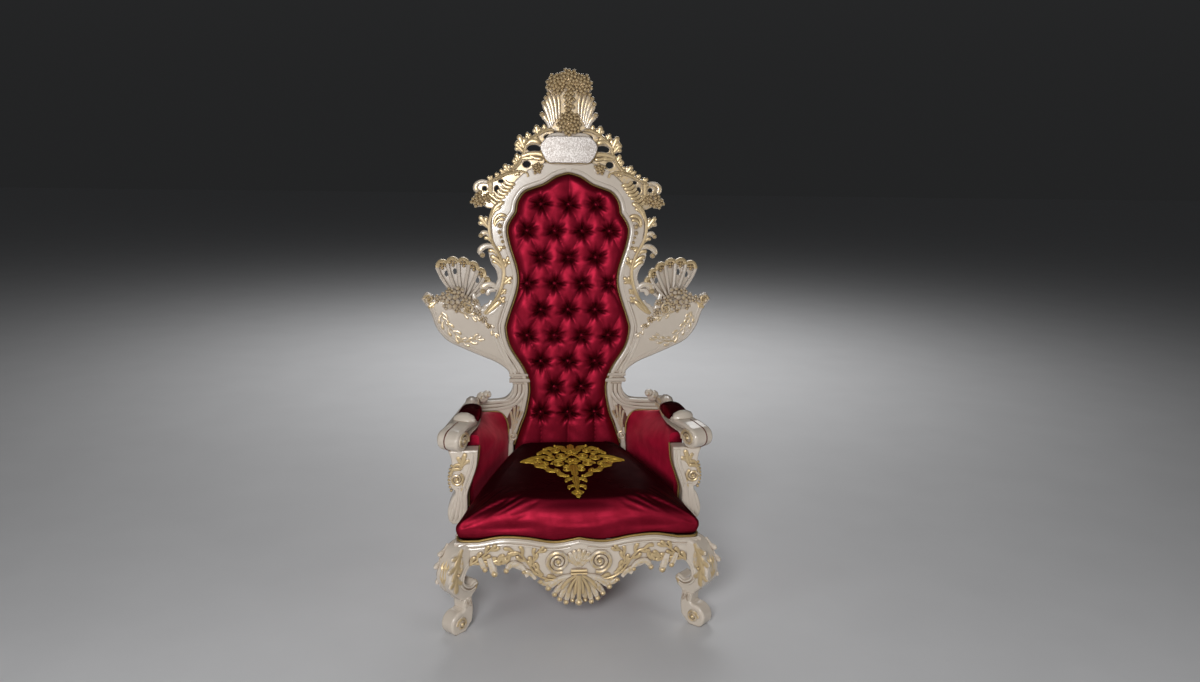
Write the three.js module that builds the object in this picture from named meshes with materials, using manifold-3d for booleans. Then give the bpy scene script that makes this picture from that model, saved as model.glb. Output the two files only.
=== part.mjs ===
import * as THREE from "three";
import { mergeVertices } from "three/addons/utils/BufferGeometryUtils.js";
import Module from "manifold-3d";

const wasm = await Module();
wasm.setup();

// A carved throne. Millimetres, +Z up, the seat faces -Y, the middle of the box stands on the origin.
// Relief pieces are drawn in (u, v, h): u to the right, v up, h out towards the sitter.

// Overall sizes
const RAKE = THREE.MathUtils.degToRad(4);
const BACK_LINE = 634;
const RAKE_LEVEL = 470;
const MIDDLE_Y = 353.3;
const GAP = 0.4;

// Back frame and panel: right-hand half outlines, from the top centre down
const PANEL_ARCH = [[0, 1549], [48, 1534], [92, 1506], [135, 1490], [172, 1474], [197, 1438], [205, 1396]];
const PANEL_SIDE = [
  [205, 1396], [237, 1340], [229, 1272], [199, 1170], [200, 1094], [238, 976], [244, 931],
  [226, 864], [172, 776], [152, 703], [165, 611], [188, 546], [214, 470],
];
const FRAME_SHOULDER = [
  [0, 1602], [70, 1596], [125, 1578], [180, 1545], [228, 1498], [262, 1450], [290, 1414],
];
const FRAME_LEAVES = [
  [322, 1404], [352, 1380], [318, 1362], [322, 1334], [350, 1312],
  [314, 1288], [330, 1262], [356, 1244], [332, 1224],
];
const FRAME_STILE = [
  [306, 1206], [282, 1164], [278, 1120], [288, 1070], [308, 1000],
  [305, 930], [278, 850], [240, 775], [229, 742],
];
const FRAME_ELBOW = [[229, 742], [219, 704], [238, 668], [275, 653], [395, 650]];
const FRAME_BRACKET = [[395, 602], [300, 606], [262, 596], [242, 566], [236, 530], [243, 500], [268, 470]];
const FRAME_THICK = 45;
const STILE_FOOT = 330;
const PIPING_RADIUS = 3;
const PIPING_SLOT = 3.4;
const LEAF_RELIEF = 10;

// Deep buttoning
const BUTTON_COLUMN = 54;
const BUTTON_ROW = 103.5;
const BUTTON_TOP_ROW = 1430;
const BUTTON_ROWS = 9;
const BUTTON_RADIUS = 9;
const TUFT_PIT = 3;
const TUFT_CROWN = 34;
const TUFT_VALLEY = 17;
const TUFT_BACK = -28;
const TUFT_EDGE = 30;
const TUFT_MARGIN = 30;

// Seat
const SEAT_FRONT_HALF = 430;
const SEAT_TAPER = 0.315;
const SEAT_FRONT = 5;
const SEAT_MIDDLE = 300;
const SEAT_BACK = 590;
const SEAT_TOP = 476;
const SEAT_SLOPE = 0.15;
const RAIL_TOP = 325;
const RAIL_BOTTOM = 240;
const GIMP_HALF = 4;
const SIDE_RAIL_THICK = 46;
const SIDE_RAIL_FRONT = 424;
const SIDE_RAIL_REAR = 300;
const SIDE_RAIL_END = 624;
const LEG_BLOCK = 80;
const LEG_X = 385;
const LEG_Y = 42;
const BACK_LEG_X = 243;
const BACK_LEG_WIDE = 50;

// Arms
const ARM_X = 375;
const ARM_HALF = 34;
const ARM_BEND_FROM = 400;
const ARM_BEND = 0.00112;
const ARM_UNDER = 642;
const ARM_WIDENS = 0.001;
const ARM_ROLL = { y: 172, z: 638, radius: 38 };
const PAD_FRONT = 288;
const PAD_BACK = 425;
const PAD_SEAT = 672;
const POST_Y = 195;
const POST_THICK = 60;

// Solids

function signedVolume(position, corners) {
  const a = new THREE.Vector3();
  const b = new THREE.Vector3();
  const c = new THREE.Vector3();
  let total = 0;
  for (let i = 0; i < corners.length; i += 3) {
    a.fromBufferAttribute(position, corners[i]);
    b.fromBufferAttribute(position, corners[i + 1]);
    c.fromBufferAttribute(position, corners[i + 2]);
    total += a.dot(b.cross(c));
  }
  return total;
}

function solid(geometry) {
  const bare = new THREE.BufferGeometry();
  bare.setAttribute("position", geometry.getAttribute("position"));
  bare.setIndex(geometry.index);
  const merged = mergeVertices(bare, 1e-3);
  const all = merged.index.array;
  const corners = [];
  for (let i = 0; i < all.length; i += 3) {
    const [a, b, c] = [all[i], all[i + 1], all[i + 2]];
    if (a !== b && b !== c && c !== a) corners.push(a, b, c);
  }
  if (signedVolume(merged.attributes.position, corners) < 0) corners.reverse();
  return new wasm.Manifold(new wasm.Mesh({
    numProp: 3,
    vertProperties: new Float32Array(merged.attributes.position.array),
    triVerts: new Uint32Array(corners),
  }));
}

const joined = (geometries) => geometries.map(solid).reduce((all, next) => all.add(next));

function geometryOf(body) {
  const mesh = body.getMesh();
  const geometry = new THREE.BufferGeometry();
  geometry.setAttribute("position", new THREE.BufferAttribute(new Float32Array(mesh.vertProperties), 3));
  geometry.setIndex(new THREE.BufferAttribute(new Uint32Array(mesh.triVerts), 1));
  return geometry;
}

const mirrored = (geometry) => geometry.clone().scale(-1, 1, 1);
const bothSides = (geometries) => [...geometries, ...geometries.map(mirrored)];

// Outlines

const spline = (points, count) =>
  new THREE.SplineCurve(points.map(([u, v]) => new THREE.Vector2(u, v))).getPoints(count);
const shapeOf = (points) => new THREE.Shape(points);
const symmetric = (half) => [
  ...half,
  ...half.filter((p) => p.x > 1e-6).map((p) => new THREE.Vector2(-p.x, p.y)).reverse(),
];

function grown(points, distance) {
  const turn = Math.sign(THREE.ShapeUtils.area(points));
  return points.map((p, i) => {
    const before = points[(i + points.length - 1) % points.length];
    const after = points[(i + 1) % points.length];
    const along = after.clone().sub(before).normalize();
    return new THREE.Vector2(p.x + turn * along.y * distance, p.y - turn * along.x * distance);
  });
}

// A board between two depths with its edges rounded over inside the outline
function board(shape, back, front, edge = 0, edgeSteps = 1) {
  const geometry = new THREE.ExtrudeGeometry(shape, {
    depth: front - back - 2 * edge,
    bevelEnabled: edge > 0,
    bevelThickness: edge,
    bevelSize: edge,
    bevelOffset: -edge,
    bevelSegments: edgeSteps,
    curveSegments: 4,
  });
  return geometry.translate(0, 0, back + edge);
}

// A skin over a row of rings, closed by a fan at both ends
function loft(rings) {
  const count = rings[0].length;
  const positions = rings.flat().flatMap((p) => [p.x, p.y, p.z]);
  const index = [];
  for (let r = 0; r + 1 < rings.length; r++) {
    for (let i = 0; i < count; i++) {
      const a = r * count + i;
      const b = r * count + (i + 1) % count;
      index.push(a, b, a + count, b, b + count, a + count);
    }
  }
  const last = (rings.length - 1) * count;
  for (let i = 1; i + 1 < count; i++) {
    index.push(0, i + 1, i, last, last + i, last + i + 1);
  }
  const geometry = new THREE.BufferGeometry();
  geometry.setAttribute("position", new THREE.Float32BufferAttribute(positions, 3));
  geometry.setIndex(index);
  return geometry;
}

// Carved ornament

const placed = (geometry, u, v, h = 0, degrees = 0) =>
  geometry.rotateZ(THREE.MathUtils.degToRad(degrees)).translate(u, v, h);

// A leaf along +u, pointed at both ends, with a raised rib, turning by `bend` degrees over its length
function leaf(length, width, relief, bend = 0) {
  const stations = 2;
  const turn = THREE.MathUtils.degToRad(bend) || 1e-4;
  const rings = [];
  for (let i = 0; i <= stations; i++) {
    const s = i / stations;
    const half = width / 2 * Math.sin(Math.PI * Math.pow(s, 0.8));
    const rise = Math.sqrt(Math.max(0, Math.sin(Math.PI * s)));
    const u = length / turn * Math.sin(turn * s);
    const v = length / turn * (1 - Math.cos(turn * s));
    const nu = -Math.sin(turn * s);
    const nv = Math.cos(turn * s);
    rings.push([
      new THREE.Vector3(u + nu * half, v + nv * half, 0),
      new THREE.Vector3(u, v, -relief * rise),
      new THREE.Vector3(u - nu * half, v - nv * half, 0),
      new THREE.Vector3(u, v, relief * rise),
    ]);
  }
  return loft(rings);
}

// A leaf from one point to another on the face
function leafTo(from, to, width, relief, bend = 0, h = 0) {
  const chord = Math.hypot(to[0] - from[0], to[1] - from[1]);
  const angle = THREE.MathUtils.radToDeg(Math.atan2(to[1] - from[1], to[0] - from[0]));
  const half = THREE.MathUtils.degToRad(bend / 2) || 1e-4;
  const length = chord * half / Math.sin(half);
  return placed(leaf(length, width, relief, bend), from[0], from[1], h, angle - bend / 2);
}

// A rod along a flat line, tapering from one radius to another
function rod(points, from, to, h = 0, sides = 4) {
  const rings = points.map((p, i) => {
    const before = points[Math.max(0, i - 1)];
    const after = points[Math.min(points.length - 1, i + 1)];
    const along = after.clone().sub(before).normalize();
    const radius = THREE.MathUtils.lerp(from, to, i / (points.length - 1));
    return Array.from({ length: sides }, (_, k) => {
      const turn = 2 * Math.PI * k / sides;
      const across = radius * Math.cos(turn);
      return new THREE.Vector3(p.x - along.y * across, p.y + along.x * across, h + radius * Math.sin(turn));
    });
  });
  return loft(rings);
}

// A flat strip of even width along a line
function strip(points, half, back, front) {
  const offset = (side) => points.map((p, i) => {
    const before = points[Math.max(0, i - 1)];
    const after = points[Math.min(points.length - 1, i + 1)];
    const along = after.clone().sub(before).normalize();
    return new THREE.Vector2(p.x - along.y * side * half, p.y + along.x * side * half);
  });
  return board(shapeOf([...offset(1), ...offset(-1).reverse()]), back, front);
}

// A spiral scroll winding in from its outer radius
function scroll(u, v, outer, inner, startDegrees, turns, thick, h = 0) {
  const steps = Math.ceil(turns * 6);
  const points = Array.from({ length: steps + 1 }, (_, i) => {
    const s = i / steps;
    const angle = THREE.MathUtils.degToRad(startDegrees + 360 * turns * s);
    const radius = THREE.MathUtils.lerp(outer, inner, s);
    return new THREE.Vector2(u + radius * Math.cos(angle), v + radius * Math.sin(angle));
  });
  return rod(points, thick, thick * 0.6, h);
}

// Leaves spread as a fan about one point, the middle ones longest
function fan(u, v, h, from, to, count, length, width, relief) {
  return Array.from({ length: count }, (_, i) => {
    const s = i / (count - 1);
    const middle = Math.sin(Math.PI * (0.25 + 0.5 * s));
    return placed(leaf(length * middle, width, relief), u, v, h, THREE.MathUtils.lerp(from, to, s));
  });
}

// A dome with lumps round it: petals when they line up, berries when every other row is turned
function lumpyDome(radius, height, lumps, deep, alternate) {
  const rows = 2;
  const geometry = new THREE.SphereGeometry(radius, 2 * lumps, 2 * rows).rotateX(Math.PI / 2);
  const position = geometry.getAttribute("position");
  for (let i = 0; i < position.count; i++) {
    const [x, y, z] = [position.getX(i), position.getY(i), position.getZ(i)];
    const away = Math.hypot(x, y) / radius;
    const row = Math.round(Math.acos(THREE.MathUtils.clamp(z / radius, -1, 1)) / (Math.PI / 2 / rows));
    const phase = alternate ? Math.PI * row : 0;
    const lump = 1 + (away > 1e-3 ? deep * Math.cos(lumps * Math.atan2(y, x) + phase) : 0);
    position.setXYZ(i, x * lump, y * lump, z * lump * height / radius);
  }
  return geometry;
}

const berries = (u, v, h, radius, height) => lumpyDome(radius, height, 4, 0.12, true).translate(u, v, h);
const flower = (u, v, h, radius, height) => lumpyDome(radius, height, 5, 0.2, false).translate(u, v, h);
const dome = (u, v, h, radius, height) =>
  new THREE.SphereGeometry(radius, 6, 4).rotateX(Math.PI / 2).scale(1, 1, height / radius).translate(u, v, h);

// One edge of a vine: a leaf lobe for each reach, leaning on along the stem, with a notch between lobes
function lobedEdge(stem, side, reaches, notch, lean) {
  const count = reaches.length;
  const at = (t, out, on) => {
    const s = THREE.MathUtils.clamp(t, 0, 1);
    const p = stem.getPoint(s);
    const along = stem.getTangent(s);
    const across = side * out;
    return new THREE.Vector2(p.x - along.y * across + along.x * on, p.y + along.x * across + along.y * on);
  };
  const points = reaches.flatMap((reach, i) => [
    at(i / count, notch, 0),
    at((i + 0.3) / count, notch + 0.8 * reach, -0.1 * lean * reach),
    at((i + 0.62) / count, notch + reach, lean * reach),
  ]);
  return [...points, at(1, notch, 0)];
}

// A flat vine with lobed leaves on both edges, and a raised leaf lying on each outer lobe
function vine(line, outward, inward, notch, back, front) {
  const stem = new THREE.SplineCurve(line.map(([u, v]) => new THREE.Vector2(u, v)));
  const lean = 0.35;
  const outer = lobedEdge(stem, 1, outward, notch, lean);
  const inner = lobedEdge(stem, -1, inward, notch, lean);
  const tips = outer.filter((_, i) => i % 3 === 2);
  const leaves = tips.map((tip, i) => {
    const p = stem.getPoint((i + 0.2) / tips.length);
    return leafTo([p.x, p.y], [tip.x, tip.y], p.distanceTo(tip) * 0.55, LEAF_RELIEF, 20, front);
  });
  return [board(shapeOf([...outer, ...inner.reverse()]), back, front), ...leaves];
}

// Back panel outline, its half width at a height, and the blanks cut from it
const panelHalf = [...spline(PANEL_ARCH, 6), ...spline(PANEL_SIDE, 12).slice(1)];
const downTo = (half, level) => [...half, new THREE.Vector2(half.at(-1).x, level)];
const panelOutline = (level) => symmetric(downTo(panelHalf, level));

function panelHalfWidth(v) {
  const side = panelHalf.filter((p) => p.y < 1500);
  const below = side.findIndex((p) => p.y <= v);
  if (below <= 0) return side.at(-1).x;
  const [a, b] = [side[below - 1], side[below]];
  return THREE.MathUtils.mapLinear(v, a.y, b.y, a.x, b.x);
}

const frameHalf = [
  ...spline(FRAME_SHOULDER, 8),
  ...FRAME_LEAVES.map(([u, v]) => new THREE.Vector2(u, v)),
  ...spline(FRAME_STILE, 11),
  ...spline(FRAME_ELBOW, 6).slice(1),
  ...spline(FRAME_BRACKET, 8),
  new THREE.Vector2(FRAME_BRACKET.at(-1)[0], STILE_FOOT),
];
const frameOutline = symmetric(frameHalf);
const frameBlank = (front) =>
  solid(board(shapeOf(grown(frameOutline, GAP)), -2 * FRAME_THICK, front));

// Back frame: band with a leaf edge, stiles, arm rails and fluted brackets
function backFrame() {
  const right = [
    leafTo([304, 1398], [346, 1381], 24, LEAF_RELIEF, -30),
    leafTo([296, 1376], [342, 1316], 32, LEAF_RELIEF, -40),
    leafTo([296, 1316], [348, 1250], 36, LEAF_RELIEF, 40),
    leafTo([290, 1252], [306, 1208], 24, LEAF_RELIEF, 30),
    leafTo([272, 1398], [240, 1330], 30, LEAF_RELIEF, 45),
    leafTo([272, 1310], [240, 1244], 26, LEAF_RELIEF, -40),
    leafTo([240, 1210], [262, 1120], 28, LEAF_RELIEF, 40),
    leafTo([226, 1140], [262, 1050], 28, LEAF_RELIEF, -40),
    berries(262, 1322, 0, 17, 12),
    leafTo([206, 626], [218, 512], 22, LEAF_RELIEF, 8),
    leafTo([224, 622], [226, 512], 20, LEAF_RELIEF, -8),
    dome(222, 502, 0, 15, 10),
    rod(spline([[190, 712], [194, 668], [226, 640], [300, 632], [394, 631]], 6), 9, 9),
    collar(722, 19, 9),
    collar(745, 16, 7),
  ];
  const band = solid(board(shapeOf(frameOutline), -FRAME_THICK, 0));
  const opening = solid(board(shapeOf(grown(panelOutline(STILE_FOOT - 50), PIPING_SLOT)), -90, 60));
  return band.add(joined(bothSides(right))).subtract(opening);
}

// A collar across the neck of the stile; the panel opening trims its inner end
function collar(v, high, front) {
  const [inner, outer] = [140, 234];
  const corners = [[inner, v], [outer, v], [outer, v + high], [inner, v + high]];
  return board(shapeOf(corners.map(([x, y]) => new THREE.Vector2(x, y))), -FRAME_THICK - 2, front);
}

// Cresting: grape finial, its backing block, and a pierced vine down each shoulder
const VINE_LINE = [
  [84, 1716], [128, 1704], [164, 1668], [186, 1624], [214, 1572], [262, 1530], [318, 1502], [346, 1462],
];
const VINE_OUTWARD = [26, 44, 26, 30, 24, 26, 24, 26];
const VINE_INWARD = [22, 30, 34, 18, 24, 20];
const VINE_BACK = -28;
const VINE_FACE = -4;
const VINE_SPURS = [
  [[110, 1712], [88, 1650]],
  [[190, 1618], [92, 1614]],
  [[216, 1568], [160, 1548]],
  [[268, 1530], [224, 1494]],
  [[334, 1484], [262, 1452]],
  [[346, 1470], [290, 1404]],
];
const FINIAL_EDGE = [
  [0, 1692], [60, 1698], [66, 1722], [92, 1726], [80, 1752], [107, 1774], [84, 1796], [100, 1820],
  [70, 1848], [89, 1868], [85, 1892], [60, 1924], [30, 1946], [0, 1953],
];

function cresting() {
  const block = symmetric(spline([[0, 1580], [82, 1585], [113, 1645], [92, 1686], [66, 1704], [0, 1706]], 9));
  const finial = symmetric(FINIAL_EDGE.map(([u, v]) => new THREE.Vector2(u, v)));
  const face = 6;
  const side = [
    ...vine(VINE_LINE, VINE_OUTWARD, VINE_INWARD, 9, VINE_BACK, VINE_FACE),
    ...VINE_SPURS.map((line) => strip(spline(line, 1), 12, VINE_BACK, VINE_FACE)),
    berries(346, 1446, -12, 34, 24),
    berries(112, 1584, -2, 24, 18),
    ...fan(200, 1552, -3, -72, -26, 3, 116, 24, 12),
    leafTo([34, 1746], [102, 1774], 34, 14, 40, face),
    leafTo([32, 1764], [96, 1820], 36, 16, 25, face),
    leafTo([34, 1730], [88, 1728], 24, 12, 30, face),
    lumpyDome(44, 30, 6, 0.1, true).translate(42, 1892, face - 4),
  ];
  const middle = [
    board(shapeOf(block), -34, 12),
    board(shapeOf(finial), -34, face),
    lumpyDome(26, 30, 5, 0.1, true).scale(1, 2.2, 1).translate(0, 1830, face),
    lumpyDome(46, 30, 6, 0.1, true).translate(0, 1736, face),
  ];
  return joined([...middle, ...bothSides(side)]).subtract(frameBlank(GAP));
}

const tabletOutline = symmetric(spline([[0, 1588], [76, 1591], [106, 1645], [86, 1680], [0, 1683]], 9));

// Wing: leaf-shaped body, pierced shell, flowers, garland and bud
const WING_LOWER = [
  [222, 750], [250, 780], [290, 806], [351, 832], [419, 862],
  [478, 893], [519, 944], [543, 1009], [577, 1056],
];
const WING_UPPER = [
  [577, 1056], [554, 1084], [520, 1064], [470, 1052], [420, 1040], [368, 1022], [330, 1030], [285, 1046],
];
const SHELL = {
  u: 418, v: 1028, rim: 190, tallest: 62, falls: 0.0085, from: 58, to: 142, lobes: 6, pierced: [0, 1, 4],
};

// The rim stands highest near the outer end and falls towards the back; a few flutes are pierced
function shellPlate() {
  const reach = (degrees) => SHELL.rim - SHELL.falls * (degrees - SHELL.tallest) ** 2;
  const polar = (degrees, radius) => {
    const angle = THREE.MathUtils.degToRad(degrees);
    return new THREE.Vector2(SHELL.u + radius * Math.cos(angle), SHELL.v + radius * Math.sin(angle));
  };
  const each = (SHELL.to - SHELL.from) / SHELL.lobes;
  const rim = [];
  const holes = [];
  for (let i = 0; i < SHELL.lobes; i++) {
    const start = SHELL.from + i * each;
    const middle = start + each / 2;
    rim.push(polar(start, reach(start) * 0.93));
    rim.push(...[0.3, 0.7].map((share) => polar(start + each * share, reach(middle) * 1.03)));
    const corners = [[0, 0.56], [4, 0.74], [0, 0.84], [-4, 0.74]];
    const hole = new THREE.Path(corners.map(([turn, share]) => polar(middle + turn, reach(middle) * share)));
    if (SHELL.pierced.includes(i)) holes.push(hole);
  }
  rim.push(polar(SHELL.to, reach(SHELL.to) * 0.93), polar(SHELL.to + 10, 24), polar(SHELL.from - 30, 24));
  const shape = shapeOf(rim);
  shape.holes = holes;
  return board(shape, VINE_BACK, VINE_FACE);
}

function wing() {
  const body = [...spline(WING_LOWER, 12), ...spline(WING_UPPER, 9).slice(1)];
  const face = 6;
  const pieces = [
    board(shapeOf(body), -38, face),
    shellPlate(),
    rod(spline([[338, 1104], [308, 1120], [276, 1106]], 3), 14, 12, -16),
    rod(spline([[284, 1060], [318, 1012], [372, 990]], 4), 10, 8, face - 2),
    flower(456, 1054, -2, 42, 26),
    flower(402, 1012, face, 24, 14),
    dome(551, 1056, -10, 27, 28),
    leafTo([392, 1000], [336, 966], 30, LEAF_RELIEF, -20, face),
    leafTo([350, 976], [300, 922], 28, LEAF_RELIEF, 25, face),
    leafTo([320, 850], [402, 902], 34, LEAF_RELIEF, 30, face),
    leafTo([392, 890], [486, 946], 36, LEAF_RELIEF, -25, face),
    leafTo([478, 1030], [540, 1040], 36, 14, 25, face),
  ];
  return joined(pieces).subtract(frameBlank(90));
}

// Buttoned panel: a lattice with pits at the buttons and crowns between, cut to the panel outline
const isButtonPoint = (column, row) =>
  row >= 0 && row < BUTTON_ROWS && (column + row) % 2 === 0 &&
  Math.abs(column * BUTTON_COLUMN) < panelHalfWidth(BUTTON_TOP_ROW - row * BUTTON_ROW) - TUFT_MARGIN;

function tuftedBack() {
  const columns = 5;
  const [firstRow, lastRow] = [-2, BUTTON_ROWS + 1];
  const crest = (column, row) => (isButtonPoint(column, row) ? TUFT_PIT : TUFT_CROWN);
  const point = (column, row, h) =>
    new THREE.Vector3(column * BUTTON_COLUMN, BUTTON_TOP_ROW - row * BUTTON_ROW, h);
  const triangles = [];
  const skin = (corners, middle) => corners.forEach((p, i) => {
    triangles.push(p, corners[(i + 1) % corners.length], middle);
  });
  const edge = [];
  for (let row = firstRow; row < lastRow; row++) {
    for (let column = -columns; column < columns; column++) {
      const around = [[column, row], [column, row + 1], [column + 1, row + 1], [column + 1, row]];
      const corners = around.map(([k, j]) => point(k, j, crest(k, j)));
      const pits = around.filter(([k, j]) => isButtonPoint(k, j)).length;
      skin(corners, point(column + 0.5, row + 0.5, pits > 1 ? TUFT_VALLEY : TUFT_CROWN - 6));
    }
  }
  for (let row = firstRow; row < lastRow; row++) edge.push(point(-columns, row, crest(-columns, row)));
  for (let k = -columns; k < columns; k++) edge.push(point(k, lastRow, crest(k, lastRow)));
  for (let row = lastRow; row > firstRow; row--) edge.push(point(columns, row, crest(columns, row)));
  for (let k = columns; k > -columns; k--) edge.push(point(k, firstRow, crest(k, firstRow)));
  const under = (p) => new THREE.Vector3(p.x, p.y, TUFT_BACK);
  const centre = point(0, (firstRow + lastRow) / 2, TUFT_BACK);
  edge.forEach((p, i) => {
    const q = edge[(i + 1) % edge.length];
    triangles.push(q, p, under(p), q, under(p), under(q), under(q), under(p), centre);
  });
  const lattice = solid(new THREE.BufferGeometry().setFromPoints(triangles));
  const outline = grown(panelOutline(400), -PIPING_SLOT);
  return lattice.intersect(solid(board(shapeOf(outline), -120, TUFT_CROWN + 1, TUFT_EDGE)));
}

// A covered button with a cone below, so it seats in its pit
const buttonShape = new THREE.LatheGeometry([
  new THREE.Vector2(0, 0.6),
  new THREE.Vector2(BUTTON_RADIUS, BUTTON_RADIUS * 0.62 + 0.6),
  new THREE.Vector2(0, BUTTON_RADIUS * 1.1),
], 6).rotateX(Math.PI / 2);

// Seat: plan half width at a depth, rails, legs and cushion
const seatHalf = (y) => SEAT_FRONT_HALF - SEAT_TAPER * (y - SEAT_FRONT);

function seatRing(level, inset, slope) {
  const front = SEAT_FRONT + inset;
  const back = SEAT_BACK - Math.max(inset, 0);
  const half = [
    [0, front - 6], [200, front - 4], [seatHalf(front) - inset - 50, front],
    [seatHalf(front) - inset - 10, front + 12], [seatHalf(front + 60) - inset, front + 60],
    [seatHalf(230) - inset, 230], [seatHalf(back) - inset - 8, back - 12],
    [seatHalf(back) - inset - 40, back], [0, back],
  ].map(([x, y]) => new THREE.Vector2(x, y));
  return symmetric(half).map((p) => new THREE.Vector3(p.x, p.y, level + slope * (p.y - SEAT_MIDDLE)));
}

// The cushion overhangs the rails, and its lower front edge follows the wave of the rail below it
function seatCushion() {
  const levels = [
    [300, 62, 0], [RAIL_TOP + GAP, 60, 0], [RAIL_TOP + GAP, 8, 0], [372, -1, 0.2],
    [430, 2, 0.6], [464, 20, 1], [474, 46, 1], [SEAT_TOP, 75, 1],
  ];
  const body = solid(loft(levels.map(([level, inset, share]) => seatRing(level, inset, share * SEAT_SLOPE))));
  const line = [...spline(RAIL_WAVE, 8), new THREE.Vector2(SEAT_FRONT_HALF + 50, RAIL_TOP)];
  const wave = line.map((p) => new THREE.Vector2(p.x, p.y + 2 * GIMP_HALF + 2 * GAP));
  const floor = new THREE.Vector2(SEAT_FRONT_HALF + 50, RAIL_BOTTOM);
  const below = board(shapeOf(symmetric([...wave, floor])), -LEG_BLOCK - 4, LEG_BLOCK).rotateX(Math.PI / 2);
  return body.subtract(solid(below));
}

const RAIL_WAVE = [[0, 327], [87, 315], [180, 331], [265, 337], [344, RAIL_TOP]];
const RAIL_UNDER = [[344, 246], [318, 258], [270, 246], [210, 222], [130, 190], [60, 168], [0, 160]];

function frontRail() {
  const outline = symmetric([...spline(RAIL_WAVE, 8), ...spline(RAIL_UNDER, 9)]);
  const right = [
    scroll(72, 250, 33, 9, 250, 1.3, 9),
    dome(72, 250, 0, 9, 12),
    leafTo([100, 236], [206, 200], 40, 12, 45),
    leafTo([112, 224], [116, 166], 40, 12, -30),
    leafTo([116, 244], [196, 300], 40, 12, 40),
    leafTo([180, 264], [268, 300], 38, 12, -30),
    leafTo([324, 304], [272, 272], 34, 12, 30),
    leafTo([306, 290], [284, 212], 36, 12, -25),
    leafTo([22, 196], [82, 126], 40, 14, 30),
    leafTo([12, 190], [44, 106], 36, 14, 20),
  ];
  const middle = [
    board(shapeOf(outline), -32, 0),
    ...fan(0, 236, 0, 40, 140, 5, 62, 24, 12),
    leafTo([0, 206], [0, 90], 40, 16),
    rod([new THREE.Vector2(-28, 206), new THREE.Vector2(28, 206)], 12, 12, 2),
  ];
  return joined([...middle, ...bothSides(right)]);
}

// Front leg: a cabriole set on the diagonal, (r, z) in its own plane, narrowed at the ankle
const FOOT = { r: 55, z: 37, radius: 43 };
const LEG_OUTER = [[20, 325], [66, 306], [102, 250], [111, 208], [96, 166], [62, 132], [44, 112], [40, 84]];
const LEG_INNER = [
  [2, 30], [-4, 72], [-2, 116], [-20, 136], [-25, 160],
  [-12, 178], [14, 168], [40, 188], [30, 222], [-4, 248],
];
const LEG_HALF_THICK = [[0, 30], [90, 28], [116, 25], [200, 37], [325, 38]];

function legHalfThick(z) {
  const above = Math.max(1, LEG_HALF_THICK.findIndex(([level]) => level >= z));
  const [a, b] = [LEG_HALF_THICK[above - 1], LEG_HALF_THICK[above]];
  return THREE.MathUtils.mapLinear(z, a[0], b[0], a[1], b[1]);
}

function onDiagonal(geometry) {
  return geometry.rotateX(Math.PI / 2).rotateZ(-Math.PI / 4).translate(LEG_X, LEG_Y, 0);
}

function frontLeg() {
  const around = Array.from({ length: 9 }, (_, i) => {
    const angle = THREE.MathUtils.degToRad(100 - 27 * i);
    const z = FOOT.z + FOOT.radius * Math.sin(angle);
    return new THREE.Vector2(FOOT.r + FOOT.radius * Math.cos(angle), Math.max(0, z));
  });
  const inside = new THREE.Vector2(-30, RAIL_TOP);
  const outline = [...spline(LEG_OUTER, 12), ...around, ...spline(LEG_INNER, 14), inside];
  const body = board(shapeOf(outline), -1, 1, 0);
  const position = body.getAttribute("position");
  for (let i = 0; i < position.count; i++) {
    position.setZ(i, position.getZ(i) * legHalfThick(Math.max(0, position.getY(i))));
  }
  const face = legHalfThick(FOOT.z);
  const carved = [
    body,
    dome(FOOT.r, FOOT.z, face, 18, 11),
    leafTo([36, 300], [104, 226], 46, 12, -25, legHalfThick(260) - 1),
    leafTo([84, 262], [96, 158], 40, 12, -25, legHalfThick(200) - 1),
    dome(-10, 158, 28, 12, 8),
  ].map(onDiagonal);
  const block = new THREE.BoxGeometry(LEG_BLOCK, LEG_BLOCK, RAIL_TOP - RAIL_BOTTOM);
  block.translate(LEG_X, LEG_Y, (RAIL_TOP + RAIL_BOTTOM) / 2);
  const past = new THREE.BoxGeometry(200, 200, 200);
  past.translate(LEG_X - LEG_BLOCK / 2 - 100, 0, RAIL_BOTTOM + 100 - 6);
  const behind = new THREE.BoxGeometry(200, 200, 200);
  behind.translate(LEG_X, LEG_Y + LEG_BLOCK / 2 + 100, RAIL_BOTTOM + 100 - 6);
  return joined([...carved, block]).subtract(solid(past)).subtract(solid(behind));
}

// Back leg: a plain sabre leg in the (y, z) plane
function backLeg() {
  const front = spline([[626, RAIL_TOP + 1.5], [630, 240], [664, 110], [714, 0]], 7);
  const back = spline([[766, 0], [712, 118], [676, 240], [669, RAIL_TOP + 1.5]], 7);
  const geometry = board(shapeOf([...front, ...back]), -BACK_LEG_WIDE / 2, BACK_LEG_WIDE / 2);
  const turn = new THREE.Matrix4().makeBasis(
    new THREE.Vector3(0, 1, 0), new THREE.Vector3(0, 0, 1), new THREE.Vector3(1, 0, 0));
  return solid(geometry.applyMatrix4(turn).translate(BACK_LEG_X, 0, 0));
}

const sideRailOuter = (y) =>
  THREE.MathUtils.mapLinear(y, LEG_Y + LEG_BLOCK / 2, SIDE_RAIL_END, SIDE_RAIL_FRONT, SIDE_RAIL_REAR);

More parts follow.
